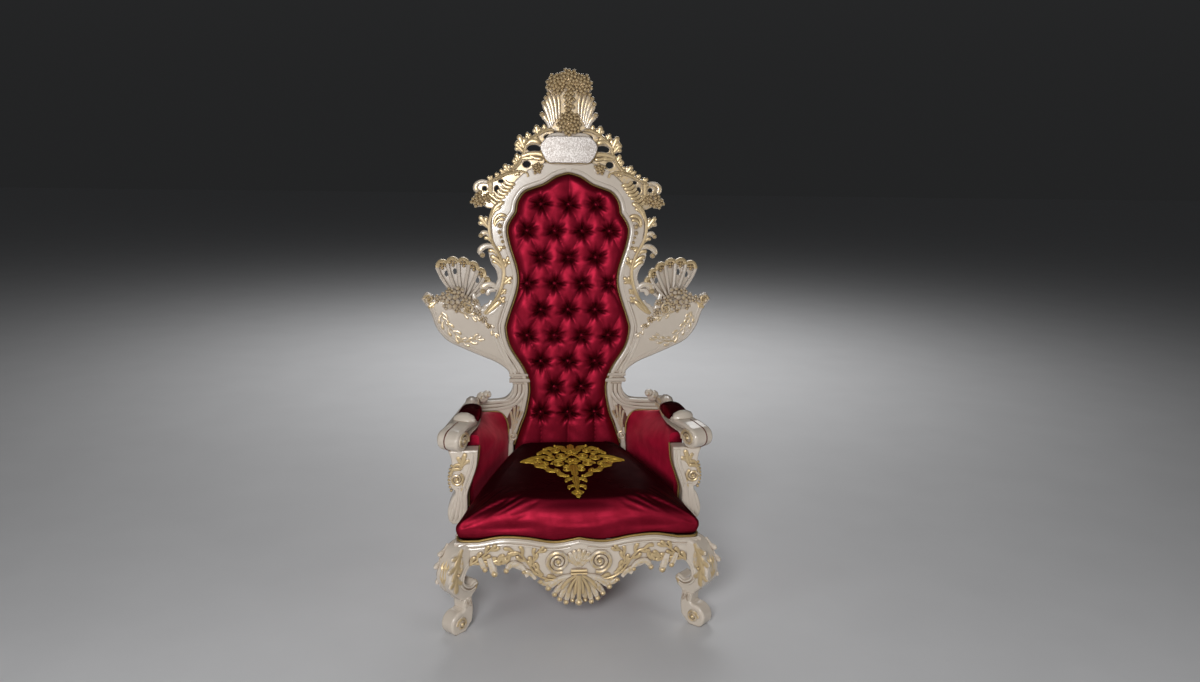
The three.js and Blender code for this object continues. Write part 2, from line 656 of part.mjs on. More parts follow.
function sideRail() {
  const front = LEG_Y + LEG_BLOCK / 2 + GAP;
  const stations = 6;
  const rings = Array.from({ length: stations + 1 }, (_, i) => {
    const s = i / stations;
    const y = THREE.MathUtils.lerp(front, SIDE_RAIL_END, s);
    const outer = sideRailOuter(y);
    const inner = outer - SIDE_RAIL_THICK;
    const under = RAIL_BOTTOM + 24 * Math.sin(Math.PI * s);
    const section = [[outer, under], [outer, RAIL_TOP], [inner, RAIL_TOP], [inner, under]];
    return section.map(([x, z]) => new THREE.Vector3(x, y, z));
  });
  return solid(loft(rings));
}

function backRail() {
  const wide = 2 * (BACK_LEG_X - BACK_LEG_WIDE / 2 - GAP);
  return solid(new THREE.BoxGeometry(wide, 34, 80).translate(0, 648, RAIL_TOP - 40));
}

// Gimp braid along the top of the front rail and round both corners
function seatGimp() {
  const lift = GIMP_HALF + GAP;
  const along = [...spline(RAIL_WAVE, 8), new THREE.Vector2(SEAT_FRONT_HALF - 14, RAIL_TOP)];
  const line = along.map((p) => new THREE.Vector3(p.x, SEAT_FRONT - 1, p.y + lift));
  const round = [60, 150].map((y) => new THREE.Vector3(seatHalf(y) + 5, y, RAIL_TOP + lift));
  line.push(...round);
  const whole = [...line.slice(1).map((p) => new THREE.Vector3(-p.x, p.y, p.z)).reverse(), ...line];
  const rings = whole.map((p, i) => {
    const ahead = whole[Math.min(i + 1, whole.length - 1)].clone().sub(whole[Math.max(i - 1, 0)]);
    const out = new THREE.Vector3(ahead.y, -ahead.x, 0).normalize();
    const section = [[-1, -1], [1, -1], [1, 1], [-1, 1]].map((pair) => pair.map((side) => side * GIMP_HALF));
    return section.map(([a, z]) => new THREE.Vector3(p.x + out.x * a, p.y + out.y * a, p.z + z));
  });
  return solid(loft(rings));
}

const APPLIQUE_EDGE = [
  [0, 489], [56, 474], [96, 459], [130, 404], [190, 346],
  [140, 304], [104, 238], [50, 184], [30, 104], [0, 70],
];

// Embroidered motif on the seat: a scalloped shield narrowing to the front, lying on the slope
function applique() {
  const half = spline(APPLIQUE_EDGE, 14);
  const shape = shapeOf(symmetric(half));
  shape.holes = [[0, 393, 30], [78, 363, 26], [-78, 363, 26], [0, 263, 24]].map(([x, y, r]) => {
    const hole = new THREE.Path();
    hole.absellipse(x, y, r, r * 1.2, 0, 2 * Math.PI);
    return hole;
  });
  const geometry = board(shape, SEAT_TOP + GAP, SEAT_TOP + 3);
  const slope = new THREE.Matrix4().makeShear(0, 0, 0, SEAT_SLOPE, 0, 0);
  geometry.translate(0, -SEAT_MIDDLE, 0).applyMatrix4(slope).translate(0, SEAT_MIDDLE, 0);
  return solid(geometry);
}

// Arms: drawn as (-y, z) with the width across, then bent outwards to the front
function alongArm(geometry) {
  const position = geometry.getAttribute("position");
  for (let i = 0; i < position.count; i++) {
    const y = -position.getX(i);
    const past = Math.max(0, ARM_BEND_FROM - y);
    const across = position.getZ(i) * (1 + ARM_WIDENS * past);
    const slope = 2 * ARM_BEND * past;
    const norm = Math.hypot(1, slope);
    const x = ARM_X + ARM_BEND * past * past + across / norm;
    position.setXYZ(i, x, y + across * slope / norm, position.getY(i));
  }
  return geometry;
}

function armRest() {
  const back = spline([[630, ARM_UNDER], [632, 676], [600, 696], [540, 699], [470, 698], [PAD_BACK, 690]], 7);
  const knob = spline([[PAD_FRONT, 690], [276, 704], [250, 707], [226, 694], [202, 686], [164, 675]], 8);
  const roll = Array.from({ length: 10 }, (_, i) => {
    const angle = THREE.MathUtils.degToRad(108 + 24 * i);
    const y = ARM_ROLL.y + ARM_ROLL.radius * Math.cos(angle);
    return new THREE.Vector2(y, ARM_ROLL.z + ARM_ROLL.radius * Math.sin(angle));
  });
  const seat = [new THREE.Vector2(PAD_BACK, PAD_SEAT), new THREE.Vector2(PAD_FRONT, PAD_SEAT)];
  const under = spline([[228, 640], [300, ARM_UNDER], [420, ARM_UNDER + 3]], 4);
  const outline = [...back, ...seat, ...knob, ...roll, ...under].map((p) => new THREE.Vector2(-p.x, p.y));
  const eye = dome(-ARM_ROLL.y, ARM_ROLL.z, -ARM_HALF, 18, 9);
  const curl = dome(-598, 682, -ARM_HALF, 22, 10);
  return joined([board(shapeOf(outline), -ARM_HALF, ARM_HALF), eye, curl].map(alongArm));
}

function armPad() {
  const [front, rear, base] = [PAD_FRONT + 1, PAD_BACK - 1, PAD_SEAT + GAP];
  const top = spline([[rear, 690], [404, 707], [366, 712], [316, 706], [front, 690]], 8);
  const outline = [new THREE.Vector2(rear, base), ...top, new THREE.Vector2(front, base)];
  const shape = shapeOf(outline.map((p) => new THREE.Vector2(-p.x, p.y)));
  return solid(alongArm(board(shape, -ARM_HALF - 1, ARM_HALF + 1, 8, 1)));
}

const POST_OUTER = [
  [440, 560], [444, 520], [452, 488], [442, 460], [428, 446], [442, 420], [455, 378], [452, 340],
];

// Arm post: an S board facing the front, with a scroll, a leaf and a fluted foot
function armPost() {
  const base = RAIL_TOP + GAP;
  const top = ARM_ROLL.z - ARM_ROLL.radius - GAP;
  const outer = spline([[452, top], ...POST_OUTER, [438, base]], 16);
  const inner = spline([[386, base], [385, 400], [384, 440], [368, 490], [352, 540], [346, top]], 8);
  const [back, front] = [-POST_THICK / 2, POST_THICK / 2];
  const pieces = [
    board(shapeOf([...outer, ...inner]), back, front),
    scroll(420, 496, 26, 9, 120, 1, 8, front),
    dome(420, 496, front, 9, 9),
    leafTo([412, 526], [392, 592], 34, LEAF_RELIEF, 20, front),
    ...fan(418, 452, front, -116, -66, 3, 118, 26, LEAF_RELIEF),
  ];
  return joined(pieces.map((piece) => piece.rotateX(Math.PI / 2).translate(0, POST_Y, 0)));
}

// Padded panel below the arm: upright at the seat, leaning out to the arm above, drawn in to the back bracket
function sidePanel() {
  const [front, rear] = [POST_Y + POST_THICK / 2 + 2, 622];
  const stations = 6;
  const rings = Array.from({ length: stations + 1 }, (_, i) => {
    const s = Math.sin(Math.PI / 2 * i / stations);
    const y = THREE.MathUtils.lerp(front, rear, s);
    const inner = seatHalf(y) + 5;
    const outer = sideRailOuter(y);
    const drawnIn = Math.pow(Math.max(0, (s - 0.7) / 0.3), 2);
    const top = 350 - 88 * drawnIn;
    const height = 634 - 32 * drawnIn;
    const swell = 10 * Math.sin(Math.PI * (0.1 + 0.8 * s));
    const section = [
      [inner, RAIL_TOP + GAP], [inner, 478], [(inner + top) / 2 - swell, 560], [top, height],
      [top + 40, height], [(outer + top + 40) / 2, 560], [outer, 470], [outer, RAIL_TOP + GAP],
    ];
    return section.map(([x, z]) => new THREE.Vector3(x, y, z));
  });
  return solid(loft(rings));
}

// Assembly

const IVORY = 0xe9dfcc;
const CRIMSON = 0x9c1830;
const GOLD = 0xb08d4a;

function piece(name, body, colour) {
  const material = new THREE.MeshStandardMaterial({ color: colour, roughness: 0.5 });
  const mesh = new THREE.Mesh(geometryOf(body), material);
  mesh.name = name;
  return mesh;
}

function pair(name, body, colour) {
  const right = piece(`${name}_right`, body, colour);
  const left = piece(`${name}_left`, body, colour);
  left.scale.x = -1;
  return [right, left];
}

const group = new THREE.Group();
const throne = new THREE.Group();
throne.position.y = -MIDDLE_Y;
group.add(throne);

// The back leans about a line at seat level; inside it v runs up the slope from the floor
const back = new THREE.Group();
back.rotation.x = Math.PI / 2 - RAKE;
back.position.set(0, BACK_LINE - RAKE_LEVEL * Math.sin(RAKE), RAKE_LEVEL * (1 - Math.cos(RAKE)));
throne.add(back);

back.add(piece("back_frame", backFrame(), IVORY));
back.add(piece("cresting", cresting(), GOLD));
back.add(piece("tablet", solid(board(shapeOf(tabletOutline), 12 + GAP, 22, 3)), IVORY));
back.add(...pair("wing", wing(), IVORY));
back.add(piece("tufted_back", tuftedBack(), CRIMSON));
const rearOutline = shapeOf(grown(panelOutline(STILE_FOOT + 14), PIPING_SLOT - GAP));
back.add(piece("rear_panel", solid(board(rearOutline, -FRAME_THICK + 2, TUFT_BACK - GAP)), CRIMSON));

const pipingHalf = panelHalf.map((p) => new THREE.Vector2(p.x, p.y));
const pipingLine = [...pipingHalf.slice(1).map((p) => new THREE.Vector2(-p.x, p.y)).reverse(), ...pipingHalf];
back.add(piece("back_piping", solid(rod(pipingLine, PIPING_RADIUS, PIPING_RADIUS, 0, 4)), GOLD));

let buttonCount = 0;
for (let row = 0; row < BUTTON_ROWS; row++) {
  for (let column = -4; column <= 4; column++) {
    if (!isButtonPoint(column, row)) continue;
    buttonCount += 1;
    const button = piece(`button_${String(buttonCount).padStart(2, "0")}`, solid(buttonShape), CRIMSON);
    button.position.set(column * BUTTON_COLUMN, BUTTON_TOP_ROW - row * BUTTON_ROW, TUFT_PIT);
    back.add(button);
  }
}

const rail = piece("front_rail", frontRail(), IVORY);
rail.rotation.x = Math.PI / 2;
throne.add(rail);
throne.add(...pair("front_leg", frontLeg(), IVORY));
throne.add(...pair("back_leg", backLeg(), IVORY));
throne.add(...pair("side_rail", sideRail(), IVORY));
throne.add(piece("back_rail", backRail(), IVORY));
throne.add(piece("seat_cushion", seatCushion(), CRIMSON));
throne.add(piece("seat_gimp", seatGimp(), GOLD));
throne.add(piece("seat_applique", applique(), GOLD));
throne.add(...pair("arm", armRest(), IVORY));
throne.add(...pair("arm_pad", armPad(), CRIMSON));
throne.add(...pair("arm_post", armPost(), IVORY));
throne.add(...pair("side_panel", sidePanel(), CRIMSON));

export default group;
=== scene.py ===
import math

import bmesh
import bpy
import numpy as np
from mathutils import Matrix, Vector


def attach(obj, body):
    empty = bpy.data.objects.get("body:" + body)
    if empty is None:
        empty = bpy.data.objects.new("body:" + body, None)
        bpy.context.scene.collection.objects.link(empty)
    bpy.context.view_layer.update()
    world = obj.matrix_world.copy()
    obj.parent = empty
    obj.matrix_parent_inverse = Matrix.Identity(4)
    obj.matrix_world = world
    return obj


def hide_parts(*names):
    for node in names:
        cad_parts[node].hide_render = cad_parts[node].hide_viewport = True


# A carved ivory and gilt throne with buttoned crimson satin, dressed round its solids.
# Carving is drawn in millimetres as (u, v, h): u to the right, v up, h out of the face.

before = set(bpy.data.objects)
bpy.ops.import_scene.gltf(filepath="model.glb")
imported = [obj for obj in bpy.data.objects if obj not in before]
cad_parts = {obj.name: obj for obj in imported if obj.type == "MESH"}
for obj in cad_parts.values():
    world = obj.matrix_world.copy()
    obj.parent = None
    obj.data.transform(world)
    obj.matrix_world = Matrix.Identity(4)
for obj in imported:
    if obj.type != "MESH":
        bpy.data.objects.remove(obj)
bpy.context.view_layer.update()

MM = 0.001
WELD = 0.00002

# The part's frame and the back's rake, as in the solids
RAKE = math.radians(4)
BACK_LINE = 634
RAKE_LEVEL = 470
MIDDLE_Y = 353.3
GAP = 0.4

# Back frame and panel: right-hand half outlines, from the top centre down
PANEL_ARCH = [(0, 1549), (48, 1534), (92, 1506), (135, 1490), (172, 1474), (197, 1438), (205, 1396)]
PANEL_SIDE = [
    (205, 1396), (237, 1340), (229, 1272), (199, 1170), (200, 1094), (238, 976), (244, 931),
    (226, 864), (172, 776), (152, 703), (165, 611), (188, 546), (214, 470),
]
FRAME_SHOULDER = [(0, 1602), (70, 1596), (125, 1578), (180, 1545), (228, 1498), (262, 1450), (290, 1414)]
FRAME_EDGE = [(290, 1414), (300, 1392), (304, 1340), (300, 1290), (312, 1240), (306, 1206)]
FRAME_STILE = [
    (306, 1206), (282, 1164), (278, 1120), (288, 1070), (308, 1000),
    (305, 930), (278, 850), (240, 775), (229, 742),
]
FRAME_ELBOW = [(229, 742), (219, 704), (238, 668), (275, 653), (395, 650)]
FRAME_BRACKET = [(395, 602), (300, 606), (262, 596), (242, 566), (236, 530), (243, 500), (268, 470)]
FRAME_THICK = 45
STILE_FOOT = 330
PIPING_RADIUS = 3
PIPING_SLOT = 3.4

# Deep buttoning
BUTTON_COLUMN = 54
BUTTON_ROW = 103.5
BUTTON_TOP_ROW = 1430
BUTTON_ROWS = 9
BUTTON_RADIUS = 9
TUFT_PIT = 3
TUFT_CROWN = 34
TUFT_BACK = -28
TUFT_EDGE = 34
TUFT_MARGIN = 30
TUFT_FOOT = 402

# Seat: its plan
SEAT_FRONT_HALF = 430
SEAT_TAPER = 0.315
SEAT_FRONT = 5
SEAT_MIDDLE = 300
SEAT_BACK = 590

# Seat: its sloping, crowned top, with two humps behind the front edge and corners that fall
SEAT_TOP = 472
SEAT_SLOPE = 0.10
SEAT_CROWN = 20
CROWN_HALF_LONG = 320
CROWN_HALF_WIDE = 410
FRONT_REACH = 260
HUMP_RISE = 15
HUMP_X = 200
HUMP_SPREAD = 100
CORNER_FALL = 34

# Seat: its rolled edge, the hollows pulled into its front, and its swelling as cloth
SEAT_BROW = 457
ROLL_DEPTH = 90
ROLL_MIDDLE = 140
REAR_ROLL_CUT = 0.6
SKIRT_TOP = 365
PULL_LEVEL = 376
PULL_HEIGHT = 20
PULL_DEPTH = 12
PULL_X = 240
PULL_SPREAD = 110
SEAT_TACKED = 375
SEAT_SWELL = 4
SEAT_VOXEL = 7.5
SWELL_PRESSURE = 4
SWELL_FRAMES = 20
APPLIQUE_FORWARD = 37

# Rails and legs
RAIL_TOP = 325
RAIL_BOTTOM = 240
RAIL_WAVE = [(0, 327), (87, 315), (180, 331), (265, 337), (344, 325)]
RAIL_UNDER = [(344, 246), (318, 258), (270, 246), (210, 222), (130, 190), (60, 168), (0, 160)]
GIMP_HALF = 4
SIDE_RAIL_THICK = 46
SIDE_RAIL_FRONT = 424
SIDE_RAIL_REAR = 300
SIDE_RAIL_END = 624
LEG_BLOCK = 80
LEG_X = 385
LEG_Y = 42
BACK_LEG_X = 243
BACK_LEG_WIDE = 50

# Arms
ARM_X = 375
ARM_HALF = 34
ARM_BEND_FROM = 400
ARM_BEND = 0.00112
ARM_UNDER = 642
ARM_WIDENS = 0.001
ROLL_Y = 172
ROLL_Z = 638
ROLL_RADIUS = 38
PAD_FRONT = 288
PAD_BACK = 425
PAD_SEAT = 672
POST_Y = 195
POST_THICK = 60

# Finishes on carved wood: the share of gold leaf, which fades below the top of the relief; a share of -1
# paints a piece dark umber-red as the shadow of a gap or hollow that is not carved
PAINTED_GAP_SHADOW = -1.0
IVORY = 0.0
EDGED = 0.62
KNEE_GILT = 0.85
GOLD = 1.0
GILDED_RISE = 9

# Signs of (u, v, h) for shapes that are repeated across the middle or on both faces
BOTH_SIDES = ((1, 1, 1), (-1, 1, 1))
BOTH_FACES = ((1, 1, 1), (1, 1, -1))


# Lines

def spline(points, count):
    """A smooth line of count + 1 points through the given ones"""
    p = np.array(points, float)
    place = np.linspace(0, len(p) - 1, count + 1)
    i = np.minimum(place.astype(int), len(p) - 2)
    t = (place - i)[:, None]
    start, end = p[i], p[i + 1]
    leave = (end - p[np.maximum(i - 1, 0)]) / 2
    arrive = (p[np.minimum(i + 2, len(p) - 1)] - start) / 2
    cubic = (2 * start - 2 * end + leave + arrive) * t**3
    return cubic + (3 * end - 3 * start - 2 * leave - arrive) * t**2 + leave * t + start


def directions(line):
    """Unit steps along a line, one for each point"""
    step = np.gradient(line, axis=0)
    return step / np.linalg.norm(step, axis=1)[:, None]


def beside(line, distance):
    """The line moved sideways, to the left of its run when distance is positive"""
    along = directions(line)
    return line + distance * np.column_stack([-along[:, 1], along[:, 0]])


def both_halves(half):
    """A closed outline from its right-hand half, drawn from the top centre to the bottom"""
    inner = half[half[:, 0] > 1e-6]
    return np.concatenate([half, inner[::-1] * (-1, 1)])


def spiral(u, v, outer, inner, start, turns):
    s = np.linspace(0, 1, int(14 * abs(turns)) + 2)
    angle = np.radians(start + 360 * turns * s)
    radius = outer + (inner - outer) * s
    return np.column_stack([u + radius * np.cos(angle), v + radius * np.sin(angle)])


# Shapes: pairs of points and faces

def loft(rings):
    """A closed skin over a row of rings"""
    rows, around = rings.shape[:2]
    faces = []
    for r in range(rows - 1):
        for i in range(around):
            a, b = r * around + i, r * around + (i + 1) % around
            faces.append((a, b, b + around, a + around))
    faces.append(tuple(range(around - 1, -1, -1)))
    faces.append(tuple(range((rows - 1) * around, rows * around)))
    return rings.reshape(-1, 3), faces


def together(shapes):
    points, faces, count = [], [], 0
    for shape_points, shape_faces in shapes:
        points.append(shape_points)
        faces.extend(tuple(count + i for i in face) for face in shape_faces)
        count += len(shape_points)
    return np.concatenate(points), faces


def tube(line, radius, end_radius=None, h=0.0, sides=8, flat=1.0):
    """A rod along a flat line; its radius is one value, one for each point, or tapers to an end radius"""
    line = np.asarray(line, float)
    along = directions(line)
    across = np.column_stack([-along[:, 1], along[:, 0], np.zeros(len(line))])
    if end_radius is None:
        size = np.broadcast_to(radius, len(line))
    else:
        size = np.linspace(radius, end_radius, len(line))
    turn = np.linspace(0, 2 * math.pi, sides, endpoint=False)
    centre = np.column_stack([line, np.full(len(line), h)])[:, None]
    up = np.array([0, 0, flat])
    ring = np.cos(turn)[None, :, None] * across[:, None] + np.sin(turn)[None, :, None] * up
    return loft(centre + size[:, None, None] * ring)


def tube_in_space(line, radius, sides=8):
    """A rod along a line in space that never runs straight up"""
    along = directions(line)
    side = np.cross(along, (0.0, 0.0, 1.0))
    side /= np.linalg.norm(side, axis=1)[:, None]
    up = np.cross(side, along)
    turn = np.linspace(0, 2 * math.pi, sides, endpoint=False)
    ring = np.cos(turn)[None, :, None] * side[:, None] + np.sin(turn)[None, :, None] * up[:, None]
    return loft(line[:, None] + radius * ring)


def ball(u, v, h, radius, stretch=1.0, rise=1.0):
    """A bead; stretch lengthens it along v, rise along h"""
    polar = np.linspace(0.02, math.pi - 0.02, 6)
    turn = np.linspace(0, 2 * math.pi, 8, endpoint=False)
    ring = np.sin(polar)[:, None] * np.array([np.cos(turn), np.sin(turn)])[:, None]
    height = np.repeat(np.cos(polar)[:, None], len(turn), axis=1)
    unit = np.stack([ring[0], ring[1] * stretch, height * rise], axis=-1)
    return loft(np.array([u, v, h]) + radius * unit)


def frond(line, width, relief, h=0.0, lobes=3, depth=8.0):
    """A carved leaf along a curved midrib: lobed edges, flutes along it, a tip that lifts"""
    stations, columns = 20, 11
    middle = spline(line, stations - 1)
    along = directions(middle)
    s = np.linspace(0, 1, stations)[:, None]
    t = np.linspace(-1, 1, columns)[None, :]
    notch = 0.5 + 0.5 * np.cos(2 * math.pi * lobes * s)
    half = width / 2 * (0.1 + np.sin(math.pi * s**0.75) ** 0.7) * (1 - 0.32 * notch)
    swell = np.sin(math.pi * np.clip(s, 0.05, 0.95)) ** 0.5
    face = 0.55 + 0.3 * (1 - t**2) + 0.26 * np.cos(3 * math.pi * t)
    height = h + relief * (swell * face + 0.35 * s**3)
    across = middle[:, :1] - along[:, 1:] * half * t
    up = middle[:, 1:] + along[:, :1] * half * t
    top = np.stack([across, up, height], axis=-1)
    foot = top[:, [-1, 0]].copy()
    foot[:, :, 2] = h - depth
    return loft(np.concatenate([top, foot], axis=1))


def finger(line, width, h=0.0):
    """A rounded lobe of a leaf, fullest near its tip"""
    s = np.linspace(0, 1, 12)
    blunt = np.sqrt(1 - np.clip((s - 0.68) / 0.325, 0, 1) ** 2)
    return tube(spline(line, 11), width / 2 * (0.6 + 0.4 * s) * blunt, h=h, flat=0.75)


def curl(line, width, h=0.0):
    """A finger that ends in a bead, like a leaf rolled up at its tip"""
    return together([finger(line, width, h), ball(line[-1][0], line[-1][1], h + 2, 0.42 * width)])


def sprig(base, tip, width, h=0.0, fingers=3, spread=30):
    """A leaf of rounded fingers that spread from its base"""
    base, tip = np.array(base, float), np.array(tip, float)
    shapes = []
    for side in np.linspace(-1, 1, fingers):
        turn = math.radians(spread * side)
        east, north = tip - base
        aim = np.array([
            east * math.cos(turn) - north * math.sin(turn),
            east * math.sin(turn) + north * math.cos(turn),
        ])
        reach = aim * (1 - 0.24 * abs(side))
        bow = base + 0.5 * reach + 0.14 * side * np.array([reach[1], -reach[0]])
        shapes.append(finger([base, bow, base + reach], 1.75 * width / fingers, h - 2 * abs(side)))
    return together(shapes)


def branch(line, leaves, length, width, h=0.0):
    """A stem with narrow leaves along both its sides and one at its tip, as a list of shapes"""
    stem = spline(line, 4 * leaves)
    along = directions(stem)
    shapes = [tube(stem, 0.3 * width, 0.2 * width, h=h)]
    for i in range(leaves):
        at = 4 * i + 1
        side = 1 if i % 2 else -1
        sideways = side * np.array((-along[at][1], along[at][0]))
        bend = stem[at] + length * (0.45 * along[at] + 0.4 * sideways)
        tip = stem[at] + length * (along[at] + 0.45 * sideways)
        shapes.append(finger([stem[at], bend, tip], width, h))
    shapes.append(finger([stem[-3], stem[-1], stem[-1] + 0.6 * length * along[-1]], width, h))
    return shapes


def hook(line, width, relief, h=0.0, depth=20.0):
    """A leaf that curls over at its tip and ends in a bead"""
    tip = line[-1]
    bead = ball(tip[0], tip[1], h + 0.5 * relief, 0.22 * width)
    return together([frond(line, width, relief, h, 3, depth), bead])


def leaf(start, end, width, relief, bend=0.0, h=0.0, lobes=3, depth=8.0):
    """A leaf whose midrib turns by an angle on its way from start to end"""
    start, end = np.array(start, float), np.array(end, float)
    chord = end - start
    sideways = 0.5 * math.tan(math.radians(bend) / 4) * np.array([chord[1], -chord[0]])
    return frond([start, (start + end) / 2 + sideways, end], width, relief, h, lobes, depth)


def berries(u, v, h, across, along, rise, berry):
    """Berries packed over a domed oval, as a list of shapes"""
    golden = math.pi * (3 - math.sqrt(5))
    count = int(1.25 * across * along / berry**2)
    shapes = [ball(u, v, h, across, along / across, 0.9 * rise / across)]
    for i in range(count):
        reach = math.sqrt((i + 0.5) / count)
        lift = rise * math.sqrt(1 - 0.9 * reach**2)
        x = u + across * reach * math.cos(golden * i)
        shapes.append(ball(x, v + along * reach * math.sin(golden * i), h + lift, berry))
    return shapes


def rose(u, v, h, radius, petals=5):
    """A round flower, a bead with full petals about it, as a list of shapes"""
    shapes = [ball(u, v, h + 0.3 * radius, 0.36 * radius)]
    for angle in 2 * math.pi / petals * np.arange(petals):
        place = (u + 0.62 * radius * math.cos(angle), v + 0.62 * radius * math.sin(angle))
        shapes.append(ball(*place, h + 0.08 * radius, 0.4 * radius))
    return shapes


def flower(u, v, h, radius, rise, petals=6):
    """A flat flower with two layers of petals"""
    shapes = [ball(u, v, h + 0.75 * rise, 0.26 * radius)]
    for layer, size in ((0, 1.0), (0.5, 0.62)):
        for i in range(petals):
            angle = 2 * math.pi * (i + layer) / petals
            tip = (u + size * radius * math.cos(angle), v + size * radius * math.sin(angle))
            lift = h + rise * (1 - size)
            shapes.append(leaf((u, v), tip, 4.4 * size * radius / petals, 0.6 * rise, 0, lift, 1))
    return together(shapes)


def scroll(u, v, outer, inner, start, turns, thick, h=0.0):
    """A spiral volute with a bead for its eye"""
    eye = ball(u, v, h, inner + 0.5 * thick)
    return together([tube(spiral(u, v, outer, inner, start, turns), thick, 0.6 * thick, h), eye])


def oval(u, v, across, along):
    turn = np.linspace(0, 2 * math.pi, 16, endpoint=False)
    return np.column_stack([u + across * np.cos(turn), v + along * np.sin(turn)])


def places(mesh):
    """The points of a mesh, one row each"""
    found = np.empty(3 * len(mesh.vertices))
    mesh.vertices.foreach_get("co", found)
    return found.reshape(-1, 3)


def board(outlines, back, front, edge, steps=3):
    """A flat board with rounded edges; outlines after the first are holes"""
    curve = bpy.data.curves.new("outline", "CURVE")
    curve.dimensions = "2D"
    curve.fill_mode = "BOTH"
    curve.extrude = (front - back) / 2 - edge
    curve.bevel_depth = edge
    curve.bevel_resolution = steps
    curve.offset = -edge
    for line in outlines:
        drawn = curve.splines.new("POLY")
        drawn.points.add(len(line) - 1)
        drawn.points.foreach_set("co", np.insert(line, [2, 2], (0, 1), axis=1).ravel())
        drawn.use_cyclic_u = True
    holder = bpy.data.objects.new("outline", curve)
    mesh = bpy.data.meshes.new_from_object(holder)
    points = places(mesh) + (0, 0, (front + back) / 2)
    faces = [tuple(face.vertices) for face in mesh.polygons]
    bpy.data.objects.remove(holder)
    bpy.data.curves.remove(curve)
    bpy.data.meshes.remove(mesh)
    return points, faces


class Carving:
    """Shapes gathered into one mesh, with gold leaf on their raised parts"""

    def __init__(self):
        self.shapes = []
        self.gilt = []

    def add(self, gilt, *shapes, flips=BOTH_SIDES[:1]):
        for points, faces in shapes:
            below = (points[:, 2].max() - points[:, 2]) / GILDED_RISE
            share = gilt * (1 - 0.75 * np.clip(below, 0, 1)) if gilt > 0 else np.full(len(points), gilt)
            for flip in flips:
                self.shapes.append((points * flip, faces))
                self.gilt.append(share)

    def add_pair(self, gilt, *shapes):
        self.add(gilt, *shapes, flips=BOTH_SIDES)


# Where each group of pieces stands, in millimetres in the part's frame

def on_back(p):
    """The back leans about a line at seat level"""
    y = p[:, 1] * math.sin(RAKE) - p[:, 2] * math.cos(RAKE) + BACK_LINE - RAKE_LEVEL * math.sin(RAKE)
    z = p[:, 1] * math.cos(RAKE) + p[:, 2] * math.sin(RAKE) + RAKE_LEVEL * (1 - math.cos(RAKE))
    return np.column_stack([p[:, 0], y - MIDDLE_Y, z])


def on_front(depth):
    """Upright at a depth behind the front of the throne"""
    return lambda p: np.column_stack([p[:, 0], depth - p[:, 2] - MIDDLE_Y, p[:, 1]])


def on_leg(p):
    """The front leg's own plane runs out along the diagonal"""
    side = math.sqrt(0.5)
    x = LEG_X + side * (p[:, 0] - p[:, 2])
    y = LEG_Y - side * (p[:, 0] + p[:, 2])
    return np.column_stack([x, y - MIDDLE_Y, p[:, 1]])


def on_side(x):
    """Upright along the depth: u runs to the back, h to the right"""
    return lambda p: np.column_stack([x + p[:, 2], p[:, 0] - MIDDLE_Y, p[:, 1]])


def on_arm(p):
    """Along the arm, which bends outwards to the front: u runs forwards, h to the right"""
    y = -p[:, 0]
    past = np.maximum(0, ARM_BEND_FROM - y)
    across = p[:, 2] * (1 + ARM_WIDENS * past)
    slope = 2 * ARM_BEND * past
    norm = np.hypot(1, slope)
    x = ARM_X + ARM_BEND * past**2 + across / norm
    return np.column_stack([x, y + across * slope / norm - MIDDLE_Y, p[:, 1]])


def crown(x, y):
    """How far the stuffing lifts the seat's middle and lets its front corners fall"""
    along = np.clip(1 - ((y - SEAT_MIDDLE) / CROWN_HALF_LONG) ** 4, 0, 1)
    dome = SEAT_CROWN * along * np.clip(1 - (x / CROWN_HALF_WIDE) ** 2, 0, 1)
    near = np.clip(1.2 - (y - SEAT_FRONT) / FRONT_REACH, 0, 1)
    humps = HUMP_RISE * np.exp(-(((np.abs(x) - HUMP_X) / HUMP_SPREAD) ** 2))
    return dome + near * (humps - CORNER_FALL * (np.abs(x) / SEAT_FRONT_HALF) ** 4)


def seat_top(x, y):
    """Height of the seat's crowned and sloping top"""
    return SEAT_TOP + SEAT_SLOPE * (y - SEAT_MIDDLE) + crown(x, y)


def on_seat(p):
    """Lying on the seat's top: u to the right, v to the back"""
    return np.column_stack([p[:, 0], p[:, 1] - MIDDLE_Y, seat_top(p[:, 0], p[:, 1]) + p[:, 2]])


def as_drawn(p):
    return p - (0, MIDDLE_Y, 0)


# Materials

PIT_SHADE = (0.006, 0.0008, 0.0012)
LYING_SHADE = (0.02, 0.002, 0.004)


def new_material(name):
    material = bpy.data.materials.new(name)
    material.use_nodes = True
    tree = material.node_tree
    return material, tree, tree.nodes["Principled BSDF"]


def feed(tree, node, **inputs):
    """Set a node's inputs to values, or join them to the outputs of other nodes"""
    for name, value in inputs.items():
        socket = node.inputs[name.replace("_", " ")]
        if isinstance(value, bpy.types.NodeSocket):
            tree.links.new(value, socket)
        else:
            socket.default_value = value


def add_node(tree, kind, **inputs):
    node = tree.nodes.new("ShaderNode" + kind)
    feed(tree, node, **inputs)
    return node


def object_place(tree):
    return add_node(tree, "TexCoord").outputs["Object"]


def noise(tree, scale, detail=3.0):
    return add_node(tree, "TexNoise", Scale=scale, Detail=detail, Vector=object_place(tree)).outputs["Fac"]


def mix_colours(tree, share, first, second):
    """A mix of two colours, each a value or another node's output"""
    mix = tree.nodes.new("ShaderNodeMix")
    mix.data_type = "RGBA"
    tree.links.new(share, mix.inputs["Factor"])
    for socket, colour in ((mix.inputs[6], first), (mix.inputs[7], second)):
        if isinstance(colour, tuple):
            socket.default_value = (*colour, 1)
        else:
            tree.links.new(colour, socket)
    return mix.outputs[2]


